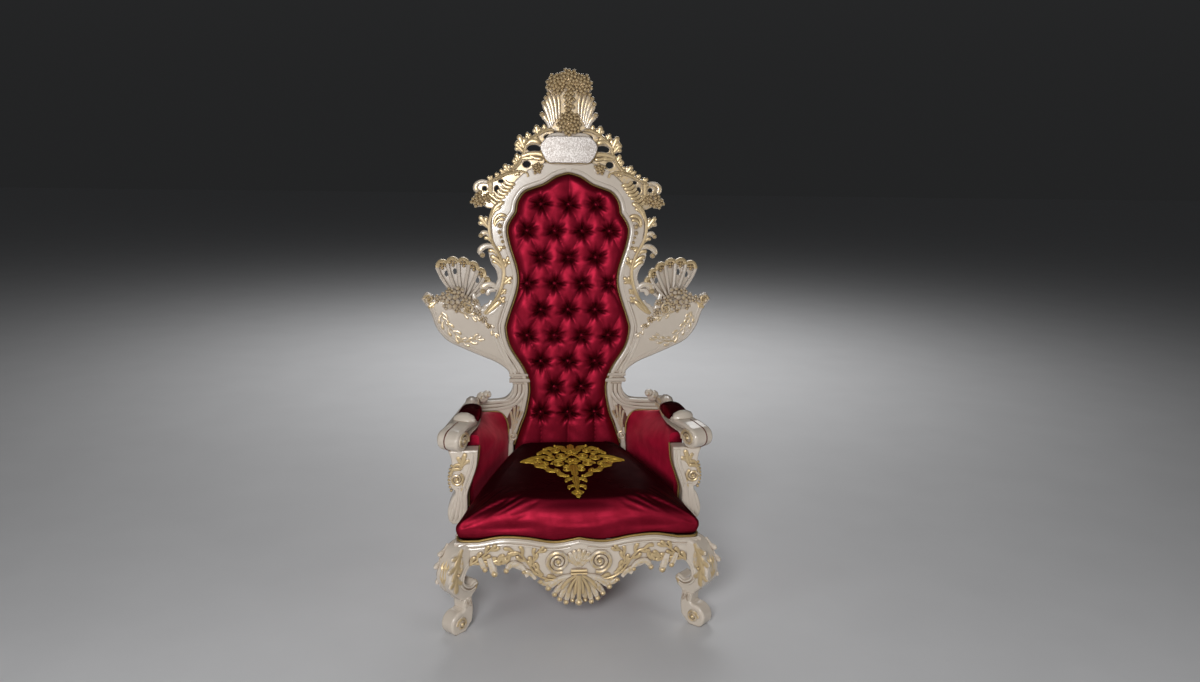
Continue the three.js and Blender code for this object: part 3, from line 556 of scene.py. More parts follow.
def remap(tree, value, low, high, to_low, to_high):
    node = add_node(tree, "MapRange", Value=value)
    node.interpolation_type = "SMOOTHSTEP"
    feed(tree, node, From_Min=low, From_Max=high, To_Min=to_low, To_Max=to_high)
    return node.outputs["Result"]


def add_values(tree, first, second):
    node = tree.nodes.new("ShaderNodeMath")
    node.operation = "ADD"
    tree.links.new(first, node.inputs[0])
    tree.links.new(second, node.inputs[1])
    return node.outputs["Value"]


def bump(tree, shader, height, strength, distance):
    node = add_node(tree, "Bump", Strength=strength, Distance=distance, Height=height)
    feed(tree, shader, Normal=node.outputs["Normal"])


def hollows(tree, distance, low, high):
    """1 in the hollows of the carving, 0 where it stands open, read from ambient occlusion; the materials
    use it to paint shade into their colours
    """
    node = add_node(tree, "AmbientOcclusion", Distance=distance)
    node.samples = 6
    return remap(tree, node.outputs["AO"], low, high, 1.0, 0.0)


def carved_wood():
    """Ivory lacquer and gold leaf over carved wood, with an umber glaze and painted shade in the hollows,
    and painted shadow on pieces marked as gaps
    """
    material, tree, shader = new_material("ivory_and_gold")
    gilt = tree.nodes.new("ShaderNodeAttribute")
    gilt.attribute_name = "gilt"
    worn = remap(tree, noise(tree, 90), 0.3, 0.7, -0.15, 0.15)
    gold = remap(tree, add_values(tree, gilt.outputs["Fac"], worn), 0.25, 0.8, 0.0, 1.0)
    # Pieces with a share of -1 take a dark umber-red: painted shadow for gaps and hollows that are not
    # carved
    gap_shadow_share = remap(tree, gilt.outputs["Fac"], -0.9, -0.4, 1.0, 0.0)
    # Ambient occlusion darkens ivory and gold in the hollows: partly an umber glaze, partly painted shade
    glaze_and_shade = hollows(tree, 0.011, 0.15, 0.86)
    cloudy = noise(tree, 14)
    ivory = mix_colours(tree, cloudy, (0.66, 0.58, 0.49), (0.59, 0.51, 0.425))
    ivory = mix_colours(tree, glaze_and_shade, ivory, (0.26, 0.17, 0.10))
    ivory = mix_colours(tree, gap_shadow_share, ivory, (0.13, 0.045, 0.03))
    leaf_colour = mix_colours(tree, cloudy, (0.67, 0.51, 0.29), (0.57, 0.42, 0.22))
    leaf_colour = mix_colours(tree, glaze_and_shade, leaf_colour, (0.27, 0.17, 0.075))
    feed(
        tree, shader, Coat_Weight=0.35, Coat_Roughness=0.08,
        Base_Color=mix_colours(tree, gold, ivory, leaf_colour),
        Metallic=remap(tree, gold, 0, 1, 0.0, 0.42), Roughness=remap(tree, gold, 0, 1, 0.24, 0.33),
    )
    bump(tree, shader, noise(tree, 320), 0.1, 0.0006)
    return material


def satin(name, light, dark, metal, sheen, lying_dark):
    """Crimson satin: its threads shine where they face the light; shade is painted into its colour, near
    black in the pits and darker where the cloth lies flat
    """
    material, tree, shader = new_material(name)
    cloudy = remap(tree, noise(tree, 22, 5.0), 0.3, 0.7, 0.0, 1.0)
    colour = mix_colours(tree, cloudy, dark, light)
    # Painted shade: ambient occlusion darkens the pits at the buttons and other deep hollows towards near
    # black
    deep = hollows(tree, 0.040, 0.35, 0.92)
    colour = mix_colours(tree, deep, colour, PIT_SHADE)
    # Painted shade: cloth facing upwards, like the seat's top, is darkened, by up to lying_dark
    facing = add_node(tree, "NewGeometry").outputs["Normal"]
    upwards = add_node(tree, "SeparateXYZ", Vector=facing).outputs["Z"]
    lying = remap(tree, upwards, 0.58, 0.94, 0.0, lying_dark)
    feed(
        tree, shader, Metallic=metal, Specular_Tint=(0.05, 0.0, 0.003, 1),
        Sheen_Weight=sheen, Sheen_Roughness=0.35, Sheen_Tint=(0.9, 0.06, 0.12, 1),
        Base_Color=mix_colours(tree, lying, colour, LYING_SHADE),
        Roughness=remap(tree, cloudy, 0, 1, 0.54, 0.47),
    )
    bump(tree, shader, noise(tree, 90, 6.0), 0.2, 0.0012)
    return material


def glitter():
    """Silver-white lacquer full of glitter flakes, each flake tilted its own way, with glints painted in as
    lighter and darker flake colours
    """
    material, tree, shader = new_material("silver_glitter")
    flakes = add_node(tree, "TexVoronoi", Scale=300, Vector=object_place(tree))
    split = add_node(tree, "SeparateColor", Color=flakes.outputs["Color"])
    # Painted glints: flakes are set lighter or darker in colour, standing in for the light each one catches
    bright = remap(tree, split.outputs["Green"], 0.2, 0.9, 0.0, 1.0)
    colour = mix_colours(tree, bright, (0.46, 0.40, 0.36), (0.78, 0.73, 0.69))
    feed(tree, shader, Base_Color=colour, Metallic=0.3, Roughness=0.32)
    bump(tree, shader, split.outputs["Red"], 0.35, 0.002)
    return material


def thread(name, bright, dark):
    """Metal thread laid in close twisted rows"""
    material, tree, shader = new_material(name)
    rows = add_node(tree, "TexWave", Scale=130, Distortion=1.5, Vector=object_place(tree))
    rows.bands_direction = "DIAGONAL"
    shade = hollows(tree, 0.006, 0.3, 0.85)
    colour = mix_colours(tree, rows.outputs["Fac"], dark, bright)
    colour = mix_colours(tree, shade, colour, dark)
    feed(tree, shader, Base_Color=colour, Metallic=0.55, Roughness=0.42)
    bump(tree, shader, rows.outputs["Fac"], 0.35, 0.001)
    return material


WOOD = carved_wood()
SATIN = satin("crimson_satin", (0.28, 0.011, 0.030), (0.22, 0.008, 0.022), 0.85, 0.0, 0.8)
# The side panels' satin: a sheen for threads laid upright, and a base colour painted lighter to stand in for
# light the grazing panels don't get
UPRIGHT_SATIN_PAINTED_LIGHTER = satin("upright_crimson_satin_painted_lighter", (0.46, 0.011, 0.042), (0.34, 0.008, 0.030), 0.0, 0.5, 0.0)
GLITTER = glitter()
BRAID = thread("gold_braid", (0.46, 0.32, 0.10), (0.22, 0.13, 0.04))
EMBROIDERY = thread("gold_embroidery", (0.80, 0.53, 0.07), (0.36, 0.20, 0.02))


# Pieces

def make_piece(name, shape, place, material, nodes, gilt=None):
    """One mesh object standing for the named solids"""
    points, faces = shape
    mesh = bpy.data.meshes.new(name)
    mesh.from_pydata((place(points) * MM).tolist(), [], faces)
    if gilt is not None:
        mesh.attributes.new("gilt", "FLOAT", "POINT").data.foreach_set("value", gilt)
    whole = bmesh.new()
    whole.from_mesh(mesh)
    bmesh.ops.remove_doubles(whole, verts=whole.verts, dist=WELD)
    bmesh.ops.recalc_face_normals(whole, faces=whole.faces)
    whole.to_mesh(mesh)
    whole.free()
    mesh.shade_smooth()
    mesh.set_sharp_from_angle(angle=math.radians(42))
    mesh.materials.append(material)
    piece = bpy.data.objects.new(name, mesh)
    bpy.context.scene.collection.objects.link(piece)
    even = piece.modifiers.new("even_normals", "WEIGHTED_NORMAL")
    even.keep_sharp = True
    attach(piece, "root")
    if nodes:
        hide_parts(*nodes)
    return piece


def mirrored(place):
    return lambda p: place(p) * (-1, 1, 1)


def both_stands(place):
    """The names of the two sides, each with where its piece stands"""
    return ("right", place), ("left", mirrored(place))


def make_carving(name, carving, place, nodes):
    gilt = np.concatenate(carving.gilt)
    return make_piece(name, together(carving.shapes), place, WOOD, nodes, gilt)


def make_carved_pair(name, carving, place):
    for side, stand in both_stands(place):
        make_carving(f"carved_{name}_{side}", carving, stand, [f"{name}_{side}"])


def make_braid(name, shape, place, nodes=()):
    make_piece(name, shape, place, BRAID, nodes)


def make_soft(name, shape, place, nodes, material=SATIN):
    make_piece(name, shape, place, material, nodes)


def make_soft_pair(name, shape, place, material):
    for side, stand in both_stands(place):
        make_soft(f"padded_{name}_{side}", shape, stand, [f"{name}_{side}"], material)


def as_evaluated(piece):
    """A new mesh of a piece with its modifiers applied"""
    return bpy.data.meshes.new_from_object(piece.evaluated_get(bpy.context.evaluated_depsgraph_get()))


def swell(pad, tacked, most, voxel):
    """Let a pad's cover swell as cloth under pressure, tacked below a height and moving only so far"""
    pad.modifiers.clear()
    even = pad.modifiers.new("even", "REMESH")
    even.mode = "VOXEL"
    even.voxel_size = voxel * MM
    pad.data = as_evaluated(pad)
    pad.modifiers.clear()
    rest = places(pad.data)
    held = pad.vertex_groups.new(name="tacked")
    held.add(np.flatnonzero(rest[:, 2] < tacked * MM).tolist(), 1.0, "REPLACE")
    cover = pad.modifiers.new("cover", "CLOTH").settings
    cover.use_pressure = True
    cover.uniform_pressure_force = SWELL_PRESSURE
    cover.effector_weights.gravity = 0
    cover.vertex_group_mass = held.name
    for number in range(1, SWELL_FRAMES + 1):
        bpy.context.scene.frame_set(number)
    moved = places(as_evaluated(pad)) - rest
    length = np.linalg.norm(moved, axis=1, keepdims=True)
    moved *= np.minimum(1, most * MM / np.maximum(length, 1e-9))
    pad.modifiers.clear()
    pad.vertex_groups.clear()
    bpy.context.scene.frame_set(1)
    pad.data.vertices.foreach_set("co", (rest + moved).ravel())
    pad.data.shade_smooth()
    pad.modifiers.new("soft", "SUBSURF").render_levels = 1


# Back

PANEL_HALF = np.concatenate([spline(PANEL_ARCH, 24), spline(PANEL_SIDE, 60)[1:]])
PANEL_EDGE = np.concatenate([PANEL_HALF[:0:-1] * (-1, 1), PANEL_HALF])
FRAME_HALF = np.concatenate([
    spline(FRAME_SHOULDER, 30), spline(FRAME_EDGE, 20)[1:], spline(FRAME_STILE, 40)[1:],
    spline(FRAME_ELBOW, 24)[1:], spline(FRAME_BRACKET, 30), [(268, STILE_FOOT)],
])


def panel_half_width(v):
    return np.interp(v, PANEL_HALF[::-1, 1], PANEL_HALF[::-1, 0])


def frame_leaves(carving):
    """A stem up each outer edge, with leaves that roll up outwards and small sprigs lying on the band"""
    stem = spline([(329, 999), (276, 1069), (253, 1148), (265, 1217), (301, 1290), (309, 1351), (292, 1411),
                   (262, 1438)], 50)
    carving.add_pair(GOLD, tube(stem, 8, 6, h=2))
    carving.add_pair(IVORY, finger([(284, 1100), (266, 1140), (272, 1182), (302, 1206)], 30, -6))
    carving.add_pair(
        GOLD,
        sprig((314, 1338), (347, 1382), 38), curl([(301, 1290), (314, 1312), (330, 1316), (342, 1306)], 24),
        finger([(294, 1276), (312, 1294), (330, 1296)], 18),
        curl([(274, 1232), (288, 1258), (312, 1266), (334, 1260), (346, 1244), (336, 1230)], 28),
        finger([(270, 1222), (290, 1244), (314, 1247)], 18),
        finger([(258, 1190), (280, 1213), (306, 1228)], 22),
        finger([(256, 1174), (278, 1196), (300, 1208)], 18),
        finger([(322, 1000), (296, 1022), (264, 1052)], 24, 3),
        finger([(290, 1350), (284, 1372), (266, 1386), (240, 1381)], 18, 2),
        finger([(288, 1342), (277, 1362), (262, 1370), (248, 1366)], 15, 2),
        finger([(302, 1386), (281, 1416), (250, 1438)], 20, 2),
        finger([(304, 1368), (288, 1400), (262, 1416)], 14, 2),
        sprig((250, 1180), (234, 1226), 28, 1), sprig((276, 1262), (254, 1246), 20, 1, 2),
        sprig((256, 1116), (220, 1144), 30, 1),
        sprig((264, 1076), (244, 1096), 26, 1), sprig((274, 1040), (248, 1066), 26, 1),
    )
    for u, v, radius in (
        (268, 1344, 11), (269, 1319, 9), (263, 1300, 6), (258, 1282, 7), (252, 1260, 8), (242, 1200, 7),
    ):
        carving.add_pair(GOLD, ball(u, v, 2, radius))


def arm_rail_reeds(carving):
    """Collars at the neck, reeds that turn out along the arm rail, and the fluted bracket below"""
    for shift in (-17, 0, 17):
        reed = spline([(192 + shift, 716), (195 + shift, 676), (224 + 0.6 * shift, 642 + 0.5 * shift),
                       (270, 632 + 0.8 * shift), (330, 628 + 0.9 * shift), (392, 627 + shift)], 24)
        carving.add_pair(IVORY, tube(reed, 9, 7, h=-2, flat=1.1))
    # A flat dark leaf behind the flutes: painted shadow in the hollows between them
    carving.add_pair(PAINTED_GAP_SHADOW, leaf((220, 526), (206, 632), 56, 2, 0, -1, 1))
    for tip, top in ((182, 606), (197, 626), (213, 626), (228, 606)):
        flute = spline([(220, 522), (0.5 * tip + 108, 570), (tip, top)], 10)
        carving.add_pair(EDGED, tube(flute, 4, 6, h=1))
    carving.add_pair(EDGED, scroll(221, 502, 17, 4, 90, 1.5, 5, 2))
    for v, radius in ((731, 9), (753, 7)):
        carving.add_pair(IVORY, tube(np.array([(150, v), (190, v), (233, v)]), radius, h=0, flat=1.3))
    upper = beside(spline(FRAME_STILE, 40)[26:], -9)
    carving.add_pair(IVORY, tube(upper, 6, h=0), tube(beside(upper, -13), 6, h=0))


def back_frame():
    """Band with a leafy edge, stiles, reeded arm rails and fluted brackets"""
    carving = Carving()
    opening = beside(PANEL_HALF, PIPING_SLOT)
    opening[0, 0] = 0
    inner = np.concatenate([opening, [(opening[-1, 0], STILE_FOOT)]])
    half = np.concatenate([FRAME_HALF, inner[::-1]])
    left = np.concatenate([inner, FRAME_HALF[::-1]]) * (-1, 1)
    carving.add(IVORY, board([np.concatenate([half, left[1:-1]])], -FRAME_THICK, 0, 7))
    carving.add_pair(IVORY, tube(beside(PANEL_HALF, 15)[1:], 10, h=-4, flat=0.9))
    frame_leaves(carving)
    arm_rail_reeds(carving)
    make_carving("carved_back_frame", carving, on_back, ["back_frame"])


def finial(carving):
    """Grapes in four bunches, with fluted leaves that spread from between them and roll up at the sides"""
    core = spline([
        (0, 1944), (40, 1930), (74, 1900), (88, 1870), (74, 1846), (94, 1815), (84, 1790),
        (98, 1770), (78, 1736), (60, 1712), (0, 1694),
    ], 44)
    carving.add(EDGED, board([both_halves(core)], -34, 0, 8))
    flutes = (
        [(72, 1722), (84, 1750), (104, 1772)], [(66, 1726), (82, 1776), (98, 1814)],
        [(62, 1736), (74, 1794), (90, 1834)], [(56, 1744), (64, 1800), (80, 1850)],
        [(48, 1756), (52, 1806), (62, 1852)], [(38, 1770), (38, 1812), (44, 1852)],
    )
    for i, line in enumerate(flutes):
        carving.add_pair(GOLD, curl(line, 26 - 2 * i, 1 + i))
    carving.add(GOLD, *berries(0, 1836, 16, 20, 54, 18, 8), *berries(0, 1738, 8, 46, 46, 24, 8))
    carving.add(GOLD, *berries(0, 1906, 8, 40, 36, 20, 8))
    carving.add_pair(GOLD, *berries(50, 1888, 2, 40, 38, 24, 8))


def vine(carving):
    """A vine pierced with small holes: stem, leaves of rounded fingers, and berries at the shoulder"""
    edge = spline([(52, 1744), (92, 1722), (130, 1700), (160, 1676), (178, 1650), (182, 1618), (196, 1590),
                   (226, 1558), (272, 1534), (316, 1514),
                   (346, 1506), (358, 1488), (344, 1464), (348, 1434),
                   (316, 1412)], 50)
    shoulder = beside(spline(FRAME_SHOULDER, 30)[8:], -10)[::-1]
    holes = [oval(*hole) for hole in (
        (79, 1687, 16, 11), (134, 1643, 27, 15),
        (163, 1583, 15, 13), (262, 1516, 10, 7), (279, 1486, 9, 13),
        (326, 1487, 9, 9))]
    backing = board([np.concatenate([edge, shoulder, [(60, 1640)]]), *holes], -34, -20, 4)
    carving.add_pair(EDGED, backing)
    stem = spline([(40, 1718), (88, 1714), (131, 1690), (166, 1658), (177, 1618), (208, 1569), (264, 1534),
                   (317, 1508)], 50)
    carving.add_pair(GOLD, tube(stem, 8, 7, h=-12))
    tendril = spline([(292, 1520), (250, 1540), (217, 1549), (184, 1555), (162, 1548), (158, 1533)], 20)
    for base, tip, width in (
        ((118, 1692), (126, 1733), 40), ((150, 1677), (164, 1704), 28), ((170, 1640), (195, 1694), 44),
        ((176, 1630), (208, 1664), 36), ((187, 1588), (205, 1623), 34), ((190, 1582), (219, 1597), 32),
        ((226, 1549), (252, 1581), 40), ((240, 1544), (268, 1560), 26), ((268, 1530), (286, 1547), 24),
        ((290, 1518), (316, 1532), 28), ((92, 1712), (96, 1736), 26), ((206, 1566), (226, 1574), 24),
    ):
        carving.add_pair(GOLD, sprig(base, tip, width, -12))
    carving.add_pair(
        GOLD,
        finger([(170, 1650), (144, 1672), (106, 1664)], 26, -12),
        finger([(166, 1660), (144, 1684), (114, 1680)], 18, -12),
        curl([(305, 1508), (336, 1514), (358, 1502), (360, 1484), (344, 1472)], 24, -12),
        tube(np.array([(303, 1510), (304, 1490), (304, 1468)]), 9, h=-12),
        finger([(182, 1612), (148, 1622), (104, 1620), (80, 1596)], 26, -8),
        finger([(180, 1604), (156, 1606), (132, 1606)], 18, -8),
        finger([(150, 1614), (124, 1604), (100, 1604)], 18, -6),
        tube(tendril, 4, 5, h=1),
        sprig((312, 1470), (284, 1446), 34, -10), sprig((216, 1556), (190, 1542), 26, -4),
        *berries(350, 1440, -12, 28, 26, 16, 8), *berries(122, 1568, 0, 21, 22, 14, 7),
        *berries(318, 1452, -12, 18, 18, 12, 7),
    )
    for share in np.linspace(0, 1, 7):
        root = np.array((250, 1520)) + share * np.array((52, -76))
        carving.add_pair(GOLD, finger([root, root + (-16, -14), root + (-44, -16)], 19, 1 - 8 * share))


def cresting():
    """Grape finial over a tablet, and a pierced vine of leaves and berries down each shoulder"""
    carving = Carving()
    block = both_halves(spline([(0, 1704), (62, 1702), (88, 1684), (109, 1645), (80, 1588), (0, 1582)], 24))
    carving.add(IVORY, board([block], -34, 11, 4))
    finial(carving)
    vine(carving)
    make_carving("carved_cresting", carving, on_back, ["cresting"])
    half = spline([(0, 1690), (60, 1690), (90, 1681), (111, 1645), (84, 1592), (42, 1588), (0, 1586)], 30)
    tablet = board([both_halves(half)], 11 + GAP, 22, 4)
    make_piece("glitter_tablet", tablet, on_back, GLITTER, ["tablet"])
    lower = half[16:]
    rim = np.concatenate([lower, lower[-2::-1] * (-1, 1)])
    make_braid("tablet_rim", tube(rim, 3, h=13), on_back)


WING_LOWER = [
    (222, 750), (250, 780), (290, 806), (351, 832), (419, 862),
    (478, 893), (519, 944), (543, 1009), (577, 1056),
]
WING_UPPER = [
    (577, 1056), (554, 1084), (520, 1064), (470, 1052), (420, 1040), (368, 1022), (330, 1030), (285, 1046),
]
SHELL_U, SHELL_V, SHELL_RIM = 418, 1028, 190
SHELL_FROM, SHELL_TO, SHELL_LOBES = 58, 142, 6
SHELL_TALLEST = 62
SHELL_FALLS = 0.0085
SHELL_PIERCED = (0, 1, 4)


def polar(degrees, radius):
    angle = np.radians(degrees)
    return np.stack([SHELL_U + radius * np.cos(angle), SHELL_V + radius * np.sin(angle)], axis=-1)


def shell(carving):
    """A scallop of hollow flutes between ribs, a few of them pierced, with a scalloped gilded rim"""
    each = (SHELL_TO - SHELL_FROM) / SHELL_LOBES

    def rim_at(degrees):
        return SHELL_RIM - SHELL_FALLS * (degrees - SHELL_TALLEST) ** 2

    share = np.linspace(0.16, 0.95, 12)
    for i in range(SHELL_LOBES + 1):
        degrees = SHELL_FROM + i * each
        sway = 7 * np.sin(np.linspace(0, math.pi, 12)) * (i / SHELL_LOBES - 0.5)
        carving.add(IVORY, tube(polar(degrees + sway, rim_at(degrees) * share), 6, 8, h=-12, flat=1.4))
    swing = np.linspace(-1, 1, 11)
    for i in range(SHELL_LOBES):
        middle = SHELL_FROM + (i + 0.5) * each
        reach = rim_at(middle)
        lobe = middle + 0.5 * each * swing
        rim = polar(lobe, rim_at(lobe) * (0.94 + 0.08 * (1 - swing**2)))
        carving.add(GOLD, tube(rim, 9, h=-11, flat=1.2), *rose(*polar(middle, reach * 0.93), -12, 17, 4))
        wall = polar(middle + 0.52 * each * swing, reach * 0.96)
        plate = np.concatenate([wall, polar(middle + 0.52 * each * swing[::-1], 22)])
        hole = oval(*polar(middle, reach * 0.74), 7, 12)
        carving.add(IVORY, board([plate, hole] if i in SHELL_PIERCED else [plate], -28, -22, 1, 1))


def wing():
    """Horn-shaped body with a shell, flowers, a garland and a bud"""
    carving = Carving()
    lower = spline(WING_LOWER, 50)
    level = np.linspace(1046, 764, 30)
    beside_panel = np.column_stack([panel_half_width(level) + 27, level])
    outline = np.concatenate([lower, spline(WING_UPPER, 36)[1:], beside_panel])
    carving.add(IVORY, board([outline], -38, 4, 16, 8))
    carving.add(IVORY, tube(beside_panel, 4, h=2))
    carving.add(IVORY, *[tube(beside(lower, inset)[2:-3], 4, h=1.5) for inset in (9, 20)])
    shell(carving)
    carving.add(GOLD, curl([(276, 1096), (302, 1114), (332, 1108), (336, 1088)], 32, -6))
    for line, width in (
        ([(270, 1086), (290, 1032), (346, 998)], 34), ([(264, 1060), (284, 1012), (336, 984)], 32),
        ([(286, 1092), (312, 1090), (318, 1070)], 24), ([(302, 1052), (310, 1034), (334, 1024)], 24),
        ([(372, 1078), (366, 1052), (350, 1026)], 26), ([(386, 1040), (366, 1030), (344, 1012)], 28),
    ):
        carving.add(IVORY, finger(line, width, -4))
    for u, v, radius, petals in (
        (454, 1046, 32, 6), (428, 1084, 26, 5), (486, 1064, 23, 5), (510, 1058, 19, 5), (398, 1054, 20, 5),
        (414, 1036, 16, 5), (436, 1018, 18, 5), (476, 1030, 18, 5), (464, 1088, 18, 5), (364, 1044, 16, 5),
        (356, 1004, 18, 5), (333, 976, 16, 5), (312, 950, 12, 5), (395, 1019, 16, 5),
    ):
        carving.add(EDGED, *rose(u, v, 2, radius, petals))
    carving.add(
        GOLD, ball(546, 1057, -12, 25), scroll(546, 1057, 17, 5, 0, 1.4, 5, 12),
        scroll(395, 1019, 24, 6, 40, 1.4, 6, 5), sprig((520, 1044), (548, 1022), 32, 2))
    for line, leaves, length, width in (
        ([(498, 1006), (484, 964), (434, 908)], 8, 34, 16),
        ([(428, 888), (392, 888), (356, 902)], 6, 32, 15),
        ([(372, 1000), (322, 964), (286, 912)], 7, 22, 14),
        ([(424, 1006), (396, 994), (368, 984)], 4, 24, 14),
    ):
        carving.add(EDGED, *branch(line, leaves, length, width, 2))
    make_carved_pair("wing", carving, on_back)


def is_button(column, row):
    inside = panel_half_width(BUTTON_TOP_ROW - row * BUTTON_ROW) - TUFT_MARGIN
    return (column + row) % 2 == 0 and abs(column * BUTTON_COLUMN) < inside


BUTTONS = [
    (column * BUTTON_COLUMN, BUTTON_TOP_ROW - row * BUTTON_ROW)
    for row in range(BUTTON_ROWS) for column in range(-4, 5) if is_button(column, row)
]


def distance_to_line(points, line):
    """Distance from each point to the nearest stretch of a line"""
    nearest = np.full(len(points), np.inf)
    for a, b in zip(line[:-1], line[1:]):
        step = b - a
        share = np.clip((points - a) @ step / (step @ step), 0, 1)
        nearest = np.minimum(nearest, np.linalg.norm(points - a - share[:, None] * step, axis=1))
    return nearest


def tuft_height(u, v):
    """Height of the buttoned satin: soft pillows, faint pleats and star-shaped pits at the buttons"""
    x, y = u / BUTTON_COLUMN, (BUTTON_TOP_ROW - v) / BUTTON_ROW
    first, second = np.abs(np.sin(math.pi * (x + y) / 2)), np.abs(np.sin(math.pi * (y - x) / 2))
    diamond = 0.70 + 0.30 * np.sqrt(first * second)
    upright = 0.70 + 0.30 * np.sqrt(np.abs(np.sin(math.pi * x / 2)))
    past = np.clip((y - BUTTON_ROWS + 1) / 0.5, 0, 1) + np.clip(-y / 0.5, 0, 1)
    share = past * past * (3 - 2 * past)
    height = TUFT_PIT + (TUFT_CROWN - TUFT_PIT) * (diamond * (1 - share) + upright * share)
    for k, (button_u, button_v) in enumerate(BUTTONS):
        away = np.hypot(u - button_u, v - button_v)
        angle = np.arctan2(v - button_v, u - button_u)
        folds = 0.6 * np.cos(7 * angle + 1.7 * k) + 0.4 * np.cos(11 * angle + 2.9 * k)
        pit = np.exp(-((away / (23 + 7 * folds)) ** 2))
        height = height - (height - TUFT_PIT) * pit
    ripple = np.sin(u / 17 + 2 * np.sin(v / 41)) * np.sin(v / 23 + 1.5 * np.sin(u / 29))
    return height + 0.7 * ripple


def tufted_back():
    """The buttoned satin, the buttons in its pits and the piping round its edge"""
    rows, columns = 300, 120
    v = np.linspace(TUFT_FOOT, PANEL_HALF[0, 1] - PIPING_SLOT - 2, rows)
    half = np.maximum(panel_half_width(v + 1) - PIPING_SLOT, 2)
    across = np.sin(np.linspace(-1, 1, columns) * math.pi / 2) * 0.35 + np.linspace(-1, 1, columns) * 0.65
    u = half[:, None] * across
    level = np.repeat(v[:, None], columns, axis=1)
    flat = np.column_stack([u.ravel(), level.ravel()])
    away = np.clip(distance_to_line(flat, PANEL_EDGE).reshape(u.shape) / TUFT_EDGE, 0, 1)
    rounding = np.sqrt(np.clip(1 - (1 - away) ** 2, 0, 1))
    front = np.stack([u, level, -4 + (tuft_height(u, level) + 4) * rounding], axis=-1)
    rear = front[:, [-1, 0]].copy()
    rear[:, :, 2] = TUFT_BACK
    panel = loft(np.concatenate([front, rear], axis=1))
    make_soft("tufted_satin", panel, on_back, ["tufted_back"])
    buttons = together([ball(u, v, TUFT_PIT + 1, BUTTON_RADIUS, 1, 0.5) for u, v in BUTTONS])
    names = [f"button_{i + 1:02d}" for i in range(len(BUTTONS))]
    make_soft("covered_buttons", buttons, on_back, names)
    make_braid("back_edge_piping", tube(PANEL_EDGE, PIPING_RADIUS, h=1), on_back, ["back_piping"])


def rear_panel():
    edge = beside(PANEL_HALF, PIPING_SLOT - GAP)
    outline = both_halves(np.concatenate([edge[1:], [(edge[-1, 0], STILE_FOOT + 14)]]))
    panel = board([outline], 2 - FRAME_THICK, TUFT_BACK - GAP, 3)
    make_soft("rear_cloth", panel, on_back, ["rear_panel"])


# Seat, rails and legs

def seat_half(y):
    return SEAT_FRONT_HALF - SEAT_TAPER * (y - SEAT_FRONT)


def seat_ring(inset):
    """Plan of the seat, drawn in by an inset, as an even ring of points"""
    front = SEAT_FRONT + inset
    back = SEAT_BACK - max(inset, 0) + REAR_ROLL_CUT * np.clip(inset, 0, ROLL_DEPTH)
    wide = seat_half(front) - inset
    half = spline([
        (0, front - 6), (0.5 * wide, front - 4), (wide - 50, front), (wide - 12, front + 12),
        (seat_half(front + 60) - inset, front + 60), (seat_half(300) - inset, 300),
        (seat_half(back) - inset - 8, back - 14), (seat_half(back) - inset - 40, back), (0, back),
    ], 72)
    return np.concatenate([half, half[-2:0:-1] * (-1, 1)])


def seat_cushion():
    """Crowned satin seat with a rolled front edge that follows the rail's wave below"""
    profile = spline([
        (RAIL_TOP + GAP, 10), (345, 3), (366, 0), (386, 1), (406, 6), (423, 14), (436, 25),
        (445, 38), (451, 54), (454.5, 72), (SEAT_BROW, ROLL_DEPTH),
    ], 54)
    rings = []
    for level, inset in profile:
        ring = seat_ring(inset)
        share = np.clip((level - RAIL_TOP) / (SEAT_BROW - RAIL_TOP), 0, 1) ** 2
        rise = SEAT_SLOPE * (ring[:, 1] - ROLL_MIDDLE - SEAT_FRONT) + crown(*ring.T)
        rings.append(np.column_stack([ring, level + share * (rise - SEAT_SWELL)]))
    for inset in (110, 130, 160, 190, 220, 245, 265):
        ring = seat_ring(inset)
        rings.append(np.column_stack([ring, seat_top(*ring.T) - SEAT_SWELL]))
    rings = np.array(rings)
    wave = np.interp(np.abs(rings[..., 0]), *spline(RAIL_WAVE, 40).T) + GIMP_HALF / 2
    near = rings[..., 1] < LEG_BLOCK
    low = np.clip((SKIRT_TOP - rings[..., 2]) / (SKIRT_TOP - RAIL_TOP), 0, 1)
    rings[..., 2] += np.where(near, low * (wave - RAIL_TOP - GAP), 0)
    pulled = np.exp(-(((rings[..., 2] - PULL_LEVEL) / PULL_HEIGHT) ** 2)) * near
    hollow = np.exp(-(((np.abs(rings[..., 0]) - PULL_X) / PULL_SPREAD) ** 2))
    rings[..., 1] += pulled * PULL_DEPTH * hollow
    cushion = make_piece("satin_seat", loft(rings), as_drawn, SATIN, ["seat_cushion"])
    swell(cushion, SEAT_TACKED, SEAT_SWELL, SEAT_VOXEL)


